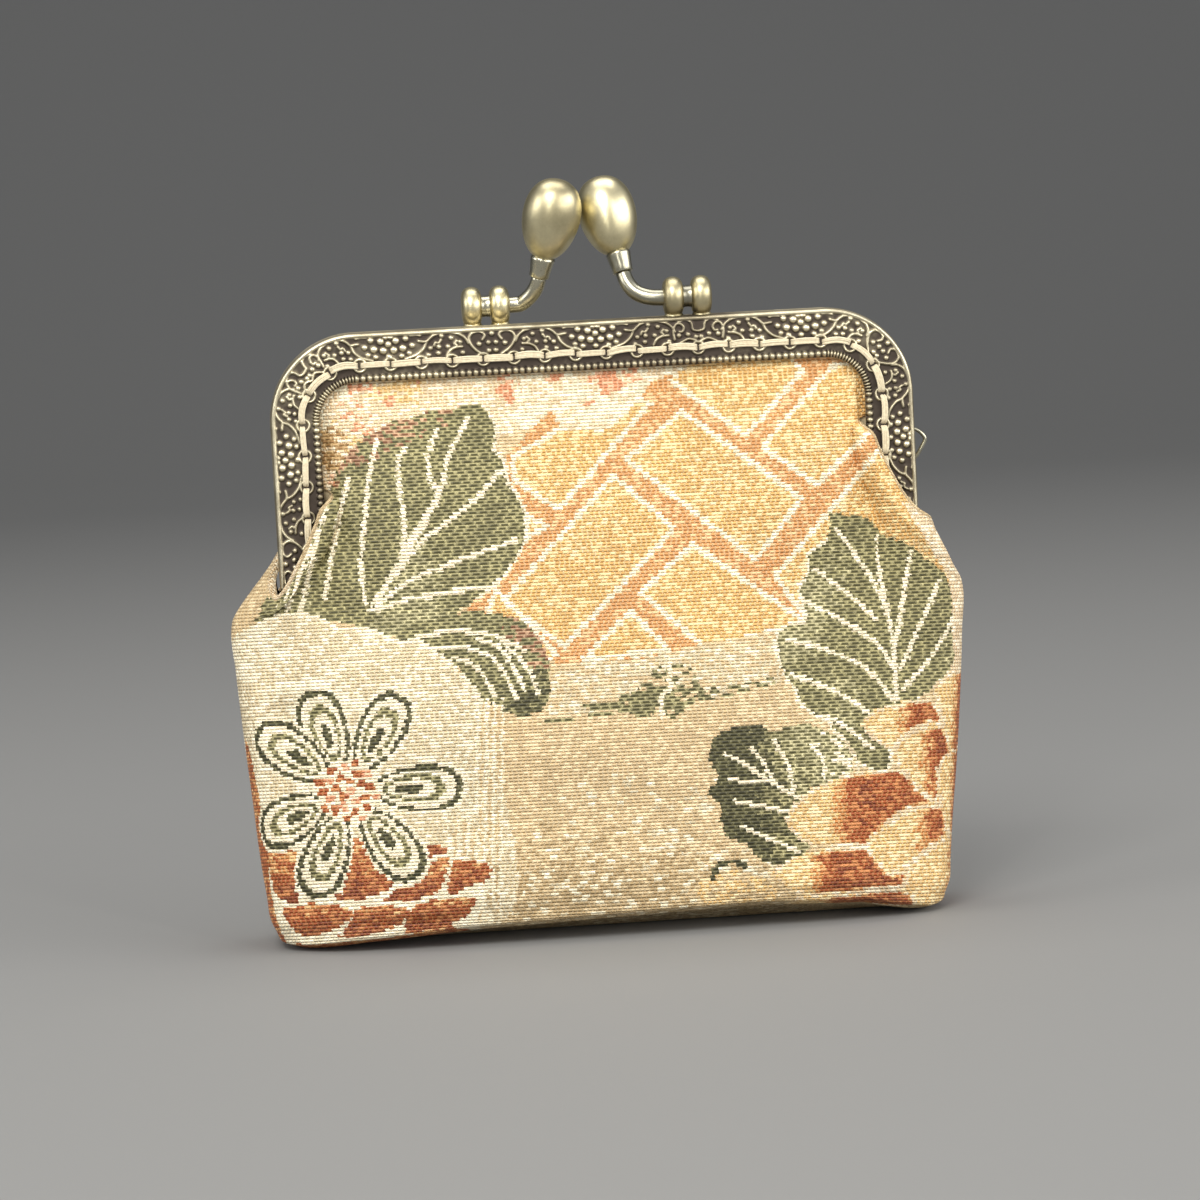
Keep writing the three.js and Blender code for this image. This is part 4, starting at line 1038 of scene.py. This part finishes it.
# inward from the edge, forward from the closing plane; the face itself is filled in with fine steps
RIM_SECTION = [
    (0.9, 0.15), (0.45, 0.12), (0.0, 0.15), (-0.02, 1.2), (-0.02, 2.4), (0.0, 3.3), (0.05, 3.9), (0.15, 4.3),
    (0.3, 4.54), (0.45, 4.6), (0.6, 4.52), (0.7, 4.4),
]
BACK_SECTION = [
    (6.5, 4.2), (6.52, 3.95), (6.4, 3.72), (4.5, 3.7), (2.5, 3.7), (0.95, 3.7), (0.9, 2.5), (0.9, 1.2),
]


def edge_place(along, inward):
    """Place on the band seen from the front, from the distance along its edge and in from it."""
    along, inward = np.broadcast_arrays(np.asarray(along, float), np.asarray(inward, float))
    side = np.where(along < 0, -1.0, 1.0)
    far = np.abs(along)
    angle = np.clip((far - STRAIGHT) / FRAME_CORNER, 0, math.pi / 2)
    down = np.maximum(far - STRAIGHT - ARC, 0)
    radius = FRAME_CORNER - inward
    x = np.minimum(far, STRAIGHT) + radius * np.sin(angle)
    z = TOP - FRAME_CORNER + radius * np.cos(angle) - down
    return side * x, z


def hole_along(run):
    """Distance along the outer edge for a distance along the line of holes."""
    side, far = (-1 if run < 0 else 1), abs(run)
    short_arc = (FRAME_CORNER - HOLE_INWARD) * math.pi / 2
    if far <= STRAIGHT:
        return run
    if far <= STRAIGHT + short_arc:
        return side * (STRAIGHT + (far - STRAIGHT) * ARC / short_arc)
    return side * (far - short_arc + ARC)


HOLE_COUNT, LAST_HOLE_DROP = 32, 29.5
HOLES = []
for hole in range(HOLE_COUNT):
    hole_at = hole_along((hole - (HOLE_COUNT - 1) / 2) * HOLE_PITCH)
    hole_x, hole_z = edge_place(hole_at, HOLE_INWARD)
    if TOP - hole_z < LAST_HOLE_DROP:
        HOLES.append((hole_at, float(hole_x), float(hole_z)))

# Drawn figures of the embossing, for one half from the middle of a heart or shield to the middle of
# the berries: distance along and distance in from the edge, in millimetres
HEART = [
    (1.25, 1.75), (0.95, 1.25), (1.3, 0.75), (1.9, 0.62), (2.6, 0.85), (3.0, 1.5), (2.8, 2.3),
    (2.1, 3.1), (1.2, 3.7),
]
SHIELD = [(2.6, 0.8), (1.9, 0.55), (1.25, 0.65), (0.85, 1.15), (0.7, 1.9), (0.0, 2.1)]
SHIELD_LOBE = [(3.2, 3.1), (3.3, 1.9), (2.9, 1.1), (2.3, 1.1), (1.9, 1.6), (2.1, 2.1), (2.5, 2.1)]
SHIELD_FOOT = [(0.0, 3.6), (1.1, 3.1), (1.9, 3.3), (2.6, 3.7)]
SCROLLS = [
    [(3.1, 2.1), (3.6, 1.3), (4.6, 0.7), (5.9, 0.5), (7.1, 0.6), (8.0, 1.1), (8.6, 1.6), (9.6, 1.5)],
    [(4.0, 2.5), (4.9, 2.6), (5.6, 3.0), (6.0, 3.7)],
    [(4.6, 1.7), (4.9, 2.1), (4.7, 2.3)],
    [(6.7, 1.5), (7.0, 1.9), (7.4, 1.8), (7.6, 2.2)],
    [(8.6, 1.7), (9.0, 2.5), (10.0, 3.3), (11.4, 3.75)],
    [(9.4, 0.75), (9.9, 0.6), (10.7, 0.65)],
]
HEART_DOTS = [(0.5, 2.15), (1.7, 2.3), (0.45, 3.2), (0.0, 1.0)]
SHIELD_DOTS = [(1.4, 2.5), (0.35, 2.85), (2.6, 2.6)]
SCROLL_DOTS = [
    (5.35, 1.3), (6.6, 1.0), (5.8, 2.4), (8.1, 2.5), (3.9, 3.3), (7.1, 3.2), (8.4, 3.4), (4.2, 1.9),
    (7.0, 2.4),
]
BERRIES = [
    (10.5, 2.0, 0.4), (11.3, 1.1, 0.42), (11.7, 2.3, 0.5), (12.6, 1.3, 0.48), (12.9, 2.5, 0.5),
    (10.9, 3.0, 0.36), (11.9, 3.3, 0.38), (13.3, 0.75, 0.4), (13.6, 3.35, 0.4), (13.6, 1.7, 0.46),
]
FIGURE_PLACES = [
    (-67.3, "heart"), (-40.1, "shield"), (-12.9, "heart"), (14.3, "shield"), (41.5, "heart"),
    (68.7, "shield"),
]


EDGING_PITCH = 0.87


def stamped_lines():
    """Every raised line and dot of the embossing, as places seen from the front."""
    lines, dots = [], []
    for centre, kind in FIGURE_PLACES:
        for side in (-1, 1):
            drawn = list(SCROLLS) + ([HEART] if kind == "heart" else [SHIELD, SHIELD_LOBE, SHIELD_FOOT])
            spots = [(a, n, 0.34) for a, n in SCROLL_DOTS] + list(BERRIES)
            spots += [(a, n, 0.36) for a, n in (HEART_DOTS if kind == "heart" else SHIELD_DOTS)]
            for points in drawn:
                smooth = rounded(points, False, 4)
                x, z = edge_place(centre + side * smooth[:, 0], smooth[:, 1])
                if np.abs(centre + side * smooth[:, 0]).max() < EDGE_LENGTH:
                    lines.append(np.stack([x, z], axis=1))
            for a, n, radius in spots:
                if abs(centre + side * a) < EDGE_LENGTH - 0.5:
                    x, z = edge_place(centre + side * a, n)
                    dots.append((float(x), float(z), radius))
    return lines, dots


def emboss(x, z, along, inward):
    """Rise of the face above its ground, in millimetres."""
    rise = np.zeros_like(x)
    lines, dots = stamped_lines()

    def window(centre_x, centre_z, reach):
        near = (np.abs(x - centre_x) < reach) & (np.abs(z - centre_z) < reach)
        rows = np.where(near.any(axis=1))[0]
        return slice(rows.min(), rows.max() + 1) if len(rows) else None

    for line in lines:
        middle = line.mean(axis=0)
        reach = np.abs(line - middle).max() + 0.6
        rows = window(middle[0], middle[1], reach)
        if rows is None:
            continue
        best = np.full(x[rows].shape, 9.0)
        for (x0, z0), (x1, z1) in zip(line[:-1], line[1:]):
            dx, dz = x1 - x0, z1 - z0
            t = np.clip(((x[rows] - x0) * dx + (z[rows] - z0) * dz) / max(dx * dx + dz * dz, 1e-9), 0, 1)
            best = np.minimum(best, np.hypot(x[rows] - x0 - t * dx, z[rows] - z0 - t * dz))
        rise[rows] = np.maximum(rise[rows], 0.28 * np.clip(1 - (best / 0.24) ** 2, 0, 1))
    for dot_x, dot_z, radius in dots:
        rows = window(dot_x, dot_z, radius + 0.1)
        if rows is None:
            continue
        away = np.hypot(x[rows] - dot_x, z[rows] - dot_z) / radius
        rise[rows] = np.maximum(rise[rows], radius * 0.85 * np.sqrt(np.clip(1 - away**2, 0, 1)))
    for _, hole_x, hole_z in HOLES:
        rows = window(hole_x, hole_z, 1.3)
        if rows is None:
            continue
        away = np.hypot(x[rows] - hole_x, z[rows] - hole_z)
        ring = 0.3 * np.clip(1 - ((away - 0.8) / 0.22) ** 2, 0, 1)
        rise[rows] = np.maximum(rise[rows], ring)
        rise[rows] = np.where(away < 0.52, -0.6, rise[rows])
    # The edging is a row of small beads
    bead = (((along / EDGING_PITCH) % 1) - 0.5) * EDGING_PITCH
    from_bead = np.hypot(bead, (inward - 6.0) * 0.85) / 0.4
    rise = np.maximum(rise, 0.4 * np.sqrt(np.clip(1 - from_bead**2, 0, 1)))
    rise = np.where((inward > 5.62) & (rise < 0.02), -0.12, rise)
    # The ground and the rim are a little uneven, as stamped and handled metal is
    rise = rise + 0.02 * np.sin(x * 2.1 + np.sin(z * 1.3) * 2) * np.sin(z * 1.7 + x * 0.4)
    return rise


def band_net(along_step, inward_step):
    """One half of the frame as a closed fine net, with how high each point of it stands."""
    along = np.arange(-EDGE_LENGTH, EDGE_LENGTH + along_step / 2, along_step)
    face_inward = np.arange(0.78, 6.46, inward_step)
    section = [(n, f, 0) for n, f in RIM_SECTION]
    section += [(n, FACE, 1) for n in face_inward]
    section += [(n, f, 0) for n, f in BACK_SECTION]
    section = np.array(section)
    reach_forward, is_face = section[None, :, 1], section[None, :, 2]
    along_grid = np.repeat(along[:, None], len(section), axis=1)
    inward_grid = np.repeat(section[None, :, 0], len(along), axis=0)
    x, z = edge_place(along_grid, inward_grid)
    rise = emboss(x, z, along_grid, inward_grid) * is_face
    forward = reach_forward + rise
    # The rim is lightly worn, and the end of each arm is cut on a slant under the cloth
    drop = TOP - z
    wear = np.sin(along_grid * 1.7) * np.sin(along_grid * 0.53 + 1) * 0.03
    forward = forward + np.where((reach_forward > 4.5) & (is_face == 0), wear, 0)
    limit = np.where(reach_forward < 3.6, FLANGE_END, np.interp(np.abs(x), SLANT_X, SLANT_DROP))
    z = z + np.maximum(drop - limit, 0)
    net = np.stack([x, -forward, z], axis=-1)
    worn = 0.24 + 0.03 * np.sin(along_grid * 0.31 + 0.6) + 0.02 * np.sin(along_grid * 1.3)
    face_high = np.where(inward_grid > 5.6, rise * 0.62, rise)
    rim_high = np.where(reach_forward > 4.45, worn + 0.05, worn * 0.7)
    high = np.where(is_face == 1, face_high, rim_high)
    return net, high


def antique_brass(name, dark, middle, bright, rough_low, rough_high, relief):
    """Brass darkened in its hollows and rubbed on its high parts."""
    material, tree, shader = new_material(name)
    stain = noise_over(tree, 420, 6, 0.65)
    broad = noise_over(tree, 90, 3)
    level = 0.55
    if relief:
        high = tree.nodes.new("ShaderNodeAttribute")
        high.attribute_name = "high"
        level = math_node(tree, "MULTIPLY", high.outputs["Fac"], 2.2)
    level = math_node(tree, "ADD", level, math_node(tree, "MULTIPLY_ADD", stain, 0.5, -0.25))
    level = math_node(tree, "ADD", level, math_node(tree, "MULTIPLY_ADD", broad, 0.9, -0.45))
    tones = tree.nodes.new("ShaderNodeValToRGB")
    tones.color_ramp.elements[0].position = 0.05
    tones.color_ramp.elements[0].color = dark + (1,)
    tones.color_ramp.elements[1].position = 0.85
    tones.color_ramp.elements[1].color = bright + (1,)
    half = tones.color_ramp.elements.new(0.42)
    half.color = middle + (1,)
    tree.links.new(level, tones.inputs["Fac"])
    tree.links.new(tones.outputs["Color"], shader.inputs["Base Color"])
    rough = tree.nodes.new("ShaderNodeMapRange")
    rough.inputs["To Min"].default_value = rough_high
    rough.inputs["To Max"].default_value = rough_low
    tree.links.new(level, rough.inputs["Value"])
    tree.links.new(rough.outputs["Result"], shader.inputs["Roughness"])
    shader.inputs["Metallic"].default_value = 1.0
    raise_surface(tree, shader, stain, 0.25, 0.00006)
    return material


frame_brass = antique_brass(
    "antique_frame_brass", (0.085, 0.068, 0.055), (0.40, 0.35, 0.24), (0.93, 0.85, 0.62), 0.32, 0.6, True,
)


def frame_half(name, node, mirrored, along_step, inward_step):
    """One half of the frame, in place of its solid."""
    net, high = band_net(along_step, inward_step)
    if mirrored:
        net = net * np.array([1, -1, 1])
        net, high = net[:, ::-1], high[:, ::-1]
    piece, quads = grid_object(name, net, loops=True)
    layer = piece.data.attributes.new("high", "FLOAT", "POINT")
    layer.data.foreach_set("value", np.clip(high, 0, 1).astype(np.float32).ravel())
    piece.data.materials.append(frame_brass)
    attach(piece, "root")
    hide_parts(node)


ALONG_STEP, INWARD_STEP = ((0.12, 0.099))
BACK_COARSER = 1.7
frame_half("band_front", "frame_front", False, ALONG_STEP, INWARD_STEP)
frame_half("band_back", "frame_back", True, ALONG_STEP * BACK_COARSER, INWARD_STEP * BACK_COARSER)

# The lining
# A plain cotton lining goes up into the frame behind the brocade. It shows only in the notches where
# the brocade turns forward to lap over the arms.

lining_cotton, tree, shader = new_material("lining_cotton")
lining_tint = mixed_colour(tree, noise_over(tree, 1800, 2), (0.42, 0.32, 0.18), (0.66, 0.54, 0.34))
tree.links.new(lining_tint, shader.inputs["Base Color"])
shader.inputs["Roughness"].default_value = 0.8

LINING_FACE, LINING_BACK, LINING_PAST_ARMS = 3.05, 2.6, 3
LINING_SECTION = [(n, LINING_FACE) for n in (1.5, 3, 6, 9)] + [(n, LINING_BACK) for n in (9, 6, 3, 1.5)]
lining_run = np.linspace(-EDGE_LENGTH - LINING_PAST_ARMS, EDGE_LENGTH + LINING_PAST_ARMS, 161)
for lining_name, mirrored in (("lining_front", False), ("lining_back", True)):
    rings = []
    for along in lining_run:
        inward = np.array([n for n, _ in LINING_SECTION])
        x, z = edge_place(along, inward)
        rings.append(np.stack([x, [f if mirrored else -f for _, f in LINING_SECTION], z], axis=1))
    rings = np.array(rings)[:, ::-1] if mirrored else np.array(rings)
    lining, _ = grid_object(lining_name, rings, loops=True)
    lining.data.materials.append(lining_cotton)
    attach(lining, "root")

# The stitching
# A cream cotton thread of four strands runs through the holes and round the frame, one flat stitch
# between each hole and the next, pulled down into the holes at both ends.


def tube_net(path, radii_wide, radii_high, sides, up):
    """Net of rings round a path, flattened across an up direction."""
    path = np.array(path, float)
    tangent = np.gradient(path, axis=0)
    tangent /= np.linalg.norm(tangent, axis=1)[:, None]
    up = np.broadcast_to(np.array(up, float), path.shape)
    up = up - tangent * (up * tangent).sum(axis=1)[:, None]
    up /= np.linalg.norm(up, axis=1)[:, None]
    across = np.cross(tangent, up)
    turn = np.arange(sides) / sides * 2 * math.pi
    wide = np.asarray(radii_wide)[:, None] * np.cos(turn)[None, :]
    high = np.asarray(radii_high)[:, None] * np.sin(turn)[None, :]
    return path[:, None] + across[:, None] * wide[..., None] + up[:, None] * high[..., None]


def joined_nets(name, nets, closed_ends=True):
    """One mesh from several tubes."""
    vertices, faces, start = [], [], 0
    for net in nets:
        rows, cols = net.shape[:2]
        vertices.append(net.reshape(-1, 3) * MM)
        for r in range(rows - 1):
            for c in range(cols):
                d = (c + 1) % cols
                near, far = start + r * cols, start + (r + 1) * cols
                faces.append((near + c, near + d, far + d, far + c))
        if closed_ends:
            faces.append(tuple(start + c for c in reversed(range(cols))))
            faces.append(tuple(start + (rows - 1) * cols + c for c in range(cols)))
        start += rows * cols
    mesh = bpy.data.meshes.new(name)
    mesh.from_pydata(np.concatenate(vertices).tolist(), [], faces)
    mesh.shade_smooth()
    piece = bpy.data.objects.new(name, mesh)
    bpy.context.scene.collection.objects.link(piece)
    return piece


thread_cotton, tree, shader = new_material("cream_thread")
fibre = noise_over(tree, 2600, 3)
thread_tint = mixed_colour(tree, fibre, (0.50, 0.41, 0.26), (0.88, 0.79, 0.57))
tree.links.new(thread_tint, shader.inputs["Base Color"])
shader.inputs["Roughness"].default_value = 0.6
shader.inputs["Sheen Weight"].default_value = 0.3
raise_surface(tree, shader, fibre, 0.4, 0.00008)

# one stitch: share of the way to the next hole, height over the face
STITCH = np.array([
    (0.04, -0.6), (0.05, -0.15), (0.08, 0.22), (0.13, 0.4), (0.18, 0.46), (0.25, 0.48), (0.33, 0.49),
    (0.42, 0.5), (0.5, 0.5), (0.58, 0.5), (0.67, 0.49), (0.75, 0.48), (0.82, 0.46), (0.87, 0.4),
    (0.92, 0.22), (0.95, -0.15), (0.96, -0.6),
])
STRAND_APART, STRAND_RADIUS = 0.21, 0.15


def stitch_nets(mirrored):
    """Flat ribbons of four strands, a little askew, that dip into the holes at both ends."""
    chance = np.random.default_rng(11)
    t, rise = STITCH[:, 0], STITCH[:, 1]
    nets = []
    for (a0, _, _), (a1, _, _) in zip(HOLES[:-1], HOLES[1:]):
        along = a0 + (a1 - a0) * t
        slant, bow, width = chance.normal(0, 0.2), chance.uniform(0.0, 0.32), chance.uniform(0.78, 1.12)
        for strand in (-1.5, -0.5, 0.5, 1.5):
            spread = STRAND_APART * strand * width * (0.72 + 0.28 * np.sin(math.pi * t) ** 0.4)
            waver = chance.normal(0, 0.03) * np.sin(math.pi * t) + slant * (t - 0.5)
            x, z = edge_place(along, HOLE_INWARD - bow * np.sin(math.pi * t) ** 0.6 + spread + waver)
            path = np.stack([x, -(FACE + rise + chance.uniform(-0.03, 0.04)), z], axis=1)
            thick = np.full(len(t), STRAND_RADIUS * chance.uniform(0.9, 1.15))
            net = tube_net(path, thick, thick, 7, (0, -1, 0))
            nets.append(net * np.array([1, -1 if mirrored else 1, 1]))
    return nets


for stitch_name, mirrored in (("stitches_front", False), ("stitches_back", True)):
    stitches = joined_nets(stitch_name, stitch_nets(mirrored))
    stitches.data.materials.append(thread_cotton)
    if mirrored:
        stitches.data.flip_normals()
    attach(stitches, "root")

# The clasp
# Two egg-shaped beads on bent wire arms. Each arm ends in a spool of two wheels that is soldered to
# the top of one half of the frame, and the beads snap past each other to hold the pouch shut.

CLASP_HALF_Y, SPOOL_RISE = 2.45, 2.5
clasp_brass = antique_brass(
    "antique_clasp_brass", (0.13, 0.115, 0.075), (0.46, 0.405, 0.25), (0.84, 0.76, 0.49), 0.28, 0.5, False,
)
arm_brass = antique_brass(
    "worn_arm_brass", (0.13, 0.12, 0.09), (0.32, 0.305, 0.235), (0.62, 0.59, 0.45), 0.2, 0.4, False,
)


def turned_net(profile, sides, foot, aim):
    """Rings of a turned piece from its foot towards its aim point."""
    foot, aim = np.array(foot, float), np.array(aim, float)
    up = (aim - foot) / np.linalg.norm(aim - foot)
    side = np.cross(up, (0, 1, 0.2))
    side /= np.linalg.norm(side)
    other = np.cross(up, side)
    turn = np.arange(sides) / sides * 2 * math.pi
    profile = np.array(profile, float)
    ring = side[None] * np.cos(turn)[:, None] + other[None] * np.sin(turn)[:, None]
    return foot + up * profile[:, 1][:, None, None] + ring[None] * profile[:, 0][:, None, None]


def egg_profile(low, high, widest):
    """Egg, a little fuller above its middle and drawn in to its collar below."""
    points = []
    for step in range(1, 33):
        a = math.pi * step / 32
        lean = (1 - 0.1 * math.cos(a)) / 1.005
        radius = max(widest * math.sin(a) ** 0.86 * lean, 0.02)
        points.append((radius, low + (high - low) * (0.5 - 0.5 * math.cos(a))))
    return points


WHEEL_FOOT = [(1.5, -0.35), (1.35, -0.05), (1.15, 0.35), (1.1, 1.0)]
COLLAR = [
    (1.0, 1.9), (1.0, 0.02), (1.25, 0.0), (1.34, 0.12), (1.38, 0.8), (1.5, 1.6), (1.62, 2.4),
    (1.64, 2.62), (1.5, 2.8), (1.3, 3.1),
]
WHEEL = [
    (0.9, -1.33), (1.5, -1.32), (2.0, -1.2), (2.35, -0.95), (2.57, -0.6), (2.66, -0.2), (2.66, 0.2),
    (2.57, 0.6), (2.35, 0.95), (2.0, 1.2), (1.5, 1.32), (0.9, 1.33),
]
NECK = [(1.9, -1.2), (1.6, -0.8), (1.45, -0.4), (1.4, 0), (1.45, 0.4), (1.6, 0.8), (1.9, 1.2)]
INNER_WHEEL_X, NECK_X, OUTER_WHEEL_X = 11.35, 13.2, 15.05
COLLAR_RISE, BEAD_RISE = 6, 14.1
ARM_RUN, ARM_RADIUS = [0, 0.7, 0.84, 0.86, 1], [1.08, 1.05, 1.0, 0.75, 0.75]
# each side: which half of the frame, collar x, bead x and y
CLASPS = (("right", 1, -1, 5.1, 3.5, 1.6), ("left", -1, 1, 6.0, 4.0, -1.6))
for clasp_name, side, half, collar_x, bead_x, bead_y in CLASPS:
    y, z = half * CLASP_HALF_Y, TOP + SPOOL_RISE
    foot = np.array([side * collar_x, half * 0.55, TOP + COLLAR_RISE])
    bead_centre = np.array([side * bead_x, bead_y, TOP + BEAD_RISE])
    lift = (bead_centre - foot) / np.linalg.norm(bead_centre - foot)
    wheels = []
    for spool_x in (INNER_WHEEL_X, OUTER_WHEEL_X):
        wheels.append(turned_net(WHEEL, 40, (side * spool_x, y, z), (side * spool_x + 1, y, z)))
        wheels.append(turned_net(WHEEL_FOOT, 24, (side * spool_x, y, TOP), (side * spool_x, y, TOP + 1)))
    bends = np.array([
        (side * INNER_WHEEL_X, y, z), (side * 9.6, y, z), (side * 8.6, y * 0.95, z + 0.08),
        (side * (collar_x + 1.45), y * 0.72, z + 0.85), (side * (collar_x + 0.45), y * 0.45, z + 2.1),
        foot - lift * 0.1, foot + lift * 1.4,
    ])
    curve = refine(bends[None], [8] * (len(bends) - 1))[0]
    radius = np.interp(np.linspace(0, 1, len(curve)), ARM_RUN, ARM_RADIUS)
    arm = [
        turned_net(NECK, 28, (side * NECK_X, y, z), (side * NECK_X + 1, y, z)),
        tube_net(curve, radius, radius, 24, (0, 0.3, 1)),
    ]
    collar = [turned_net(COLLAR, 36, foot, bead_centre)]
    egg = [turned_net(egg_profile(2.5, 13.4, 3.85), 56, foot, bead_centre)]
    half_node = "frame_front" if half < 0 else "frame_back"
    for piece_name, nets, metal, node in (
        ("clasp_spool_", wheels, clasp_brass, half_node),
        ("clasp_arm_", arm, arm_brass, half_node),
        ("clasp_collar_", collar, arm_brass, "clasp_bead_" + clasp_name),
        ("clasp_egg_", egg, clasp_brass, "clasp_bead_" + clasp_name),
    ):
        piece = joined_nets(piece_name + clasp_name, nets)
        piece.data.materials.append(metal)
        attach(piece, "root")
        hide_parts(node)

# The hinge rivets and the wire loop
# Plain turned rivets, flush outside, and a bent wire triangle through the right side of the frame.

rivet_metal = antique_brass(
    "rivet_brass", (0.10, 0.085, 0.05), (0.33, 0.29, 0.18), (0.6, 0.54, 0.36), 0.3, 0.5, False,
)
for rivet_side in ("left", "right"):
    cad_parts["hinge_rivet_" + rivet_side].data.materials.clear()
    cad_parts["hinge_rivet_" + rivet_side].data.materials.append(rivet_metal)
# the bent wire: x, drop
LOOP_BENDS = np.array([
    (40.95, 17.2), (42.1, 16.6), (43.6, 17.2), (44.2, 18.1), (43.7, 19.2), (42.2, 20.8), (40.95, 20.3),
    (40.9, 18.8), (40.95, 17.2),
])
LOOP_Y, WIRE_RADIUS = -1.15, 0.27
loop_path = np.stack([LOOP_BENDS[:, 0], np.full(len(LOOP_BENDS), LOOP_Y), TOP - LOOP_BENDS[:, 1]], axis=1)
loop_path = refine(loop_path[None], [6] * (len(LOOP_BENDS) - 1))[0]
wire = np.full(len(loop_path), WIRE_RADIUS)
loop_piece = joined_nets("wire_loop", [tube_net(loop_path, wire, wire, 12, (0, 1, 0))], closed_ends=False)
loop_piece.data.materials.append(arm_brass)
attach(loop_piece, "root")
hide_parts("chain_loop")

# The floor, the light and the camera
# A plain pale sweep, broad soft lights with two tall strips that draw the highlights down the beads,
# and a long lens nearly level with the pouch.

SWEEP_FROM, SWEEP_BEND, SWEEP_RADIUS, SWEEP_TOP, SWEEP_HALF = -3.0, 1.0, 1.2, 4.0, 4.0
sweep = [(SWEEP_FROM, 0.0), (SWEEP_BEND, 0.0)]
for bend in np.linspace(0.1, math.pi / 2, 16):
    sweep.append((SWEEP_BEND + SWEEP_RADIUS * math.sin(bend), SWEEP_RADIUS * (1 - math.cos(bend))))
sweep.append((SWEEP_BEND + SWEEP_RADIUS, SWEEP_TOP))
floor_mesh = bpy.data.meshes.new("floor")
floor_mesh.from_pydata(
    [(side * SWEEP_HALF, y, z) for y, z in sweep for side in (-1, 1)], [],
    [(2 * k, 2 * k + 1, 2 * k + 3, 2 * k + 2) for k in range(len(sweep) - 1)],
)
floor_mesh.shade_smooth()
floor = bpy.data.objects.new("floor", floor_mesh)
floor.location.z = -0.0002
bpy.context.scene.collection.objects.link(floor)
floor_paint, tree, shader = new_material("pale_floor")
shader.inputs["Base Color"].default_value = (0.20, 0.20, 0.197, 1)
shader.inputs["Roughness"].default_value = 0.8
floor_mesh.materials.append(floor_paint)
floor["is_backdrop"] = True


def soft_light(name, place, aim, size, power, colour):
    """Rectangular lamp turned towards its aim."""
    lamp = bpy.data.lights.new(name, "AREA")
    lamp.shape = "RECTANGLE"
    lamp.size, lamp.size_y = size
    lamp.energy = power
    lamp.color = colour
    light = bpy.data.objects.new(name, lamp)
    light.location = place
    light.rotation_euler = (Vector(aim) - Vector(place)).to_track_quat("-Z", "Y").to_euler()
    bpy.context.scene.collection.objects.link(light)


soft_light("key", (-0.3, -0.75, 0.8), (0, 0, 0.05), (0.5, 0.4), 8.2, (1.0, 0.98, 0.94))
soft_light("fill", (0.7, -0.6, 0.35), (0, 0, 0.04), (0.5, 0.5), 3.4, (1.0, 0.98, 0.95))
soft_light("above", (0, 0.1, 0.9), (0, 0, 0.05), (0.8, 0.5), 4.2, (1.0, 0.98, 0.95))
soft_light("side_left", (-0.8, -0.25, 0.4), (0, 0, 0.05), (0.4, 0.4), 2.4, (1.0, 0.98, 0.95))
soft_light("side_right", (0.8, -0.2, 0.35), (0, 0, 0.05), (0.4, 0.4), 2.2, (1.0, 0.98, 0.95))
soft_light("strip_left", (-0.22, -0.7, 0.3), (0, 0, 0.09), (0.05, 0.5), 1.0, (1.0, 0.97, 0.9))
soft_light("strip_right", (0.3, -0.62, 0.32), (0, 0, 0.09), (0.04, 0.5), 0.8, (1.0, 0.97, 0.9))
world = bpy.data.worlds.new("studio")
bpy.context.scene.world = world
world.use_nodes = True
world.node_tree.nodes["Background"].inputs["Color"].default_value = (0.9, 0.92, 0.95, 1)
world.node_tree.nodes["Background"].inputs["Strength"].default_value = 0.43
bpy.context.scene.view_settings.view_transform = "Standard"

camera_data = bpy.data.cameras.new("camera")
camera_data.sensor_width = 36
camera_data.lens = camera_data.sensor_width * DISTANCE * DRAW_SCALE / PICTURE_WIDE
camera_data.clip_start = 0.01
camera = bpy.data.objects.new("camera", camera_data)
camera.location = Vector((AIM + TOWARDS * DISTANCE) * MM)
level = Vector(-TOWARDS).to_track_quat("-Z", "Y")
camera.rotation_mode = "QUATERNION"
camera.rotation_quaternion = level @ Quaternion((0, 0, 1), -ROLL)
bpy.context.scene.collection.objects.link(camera)
bpy.context.scene.camera = camera

low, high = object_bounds()
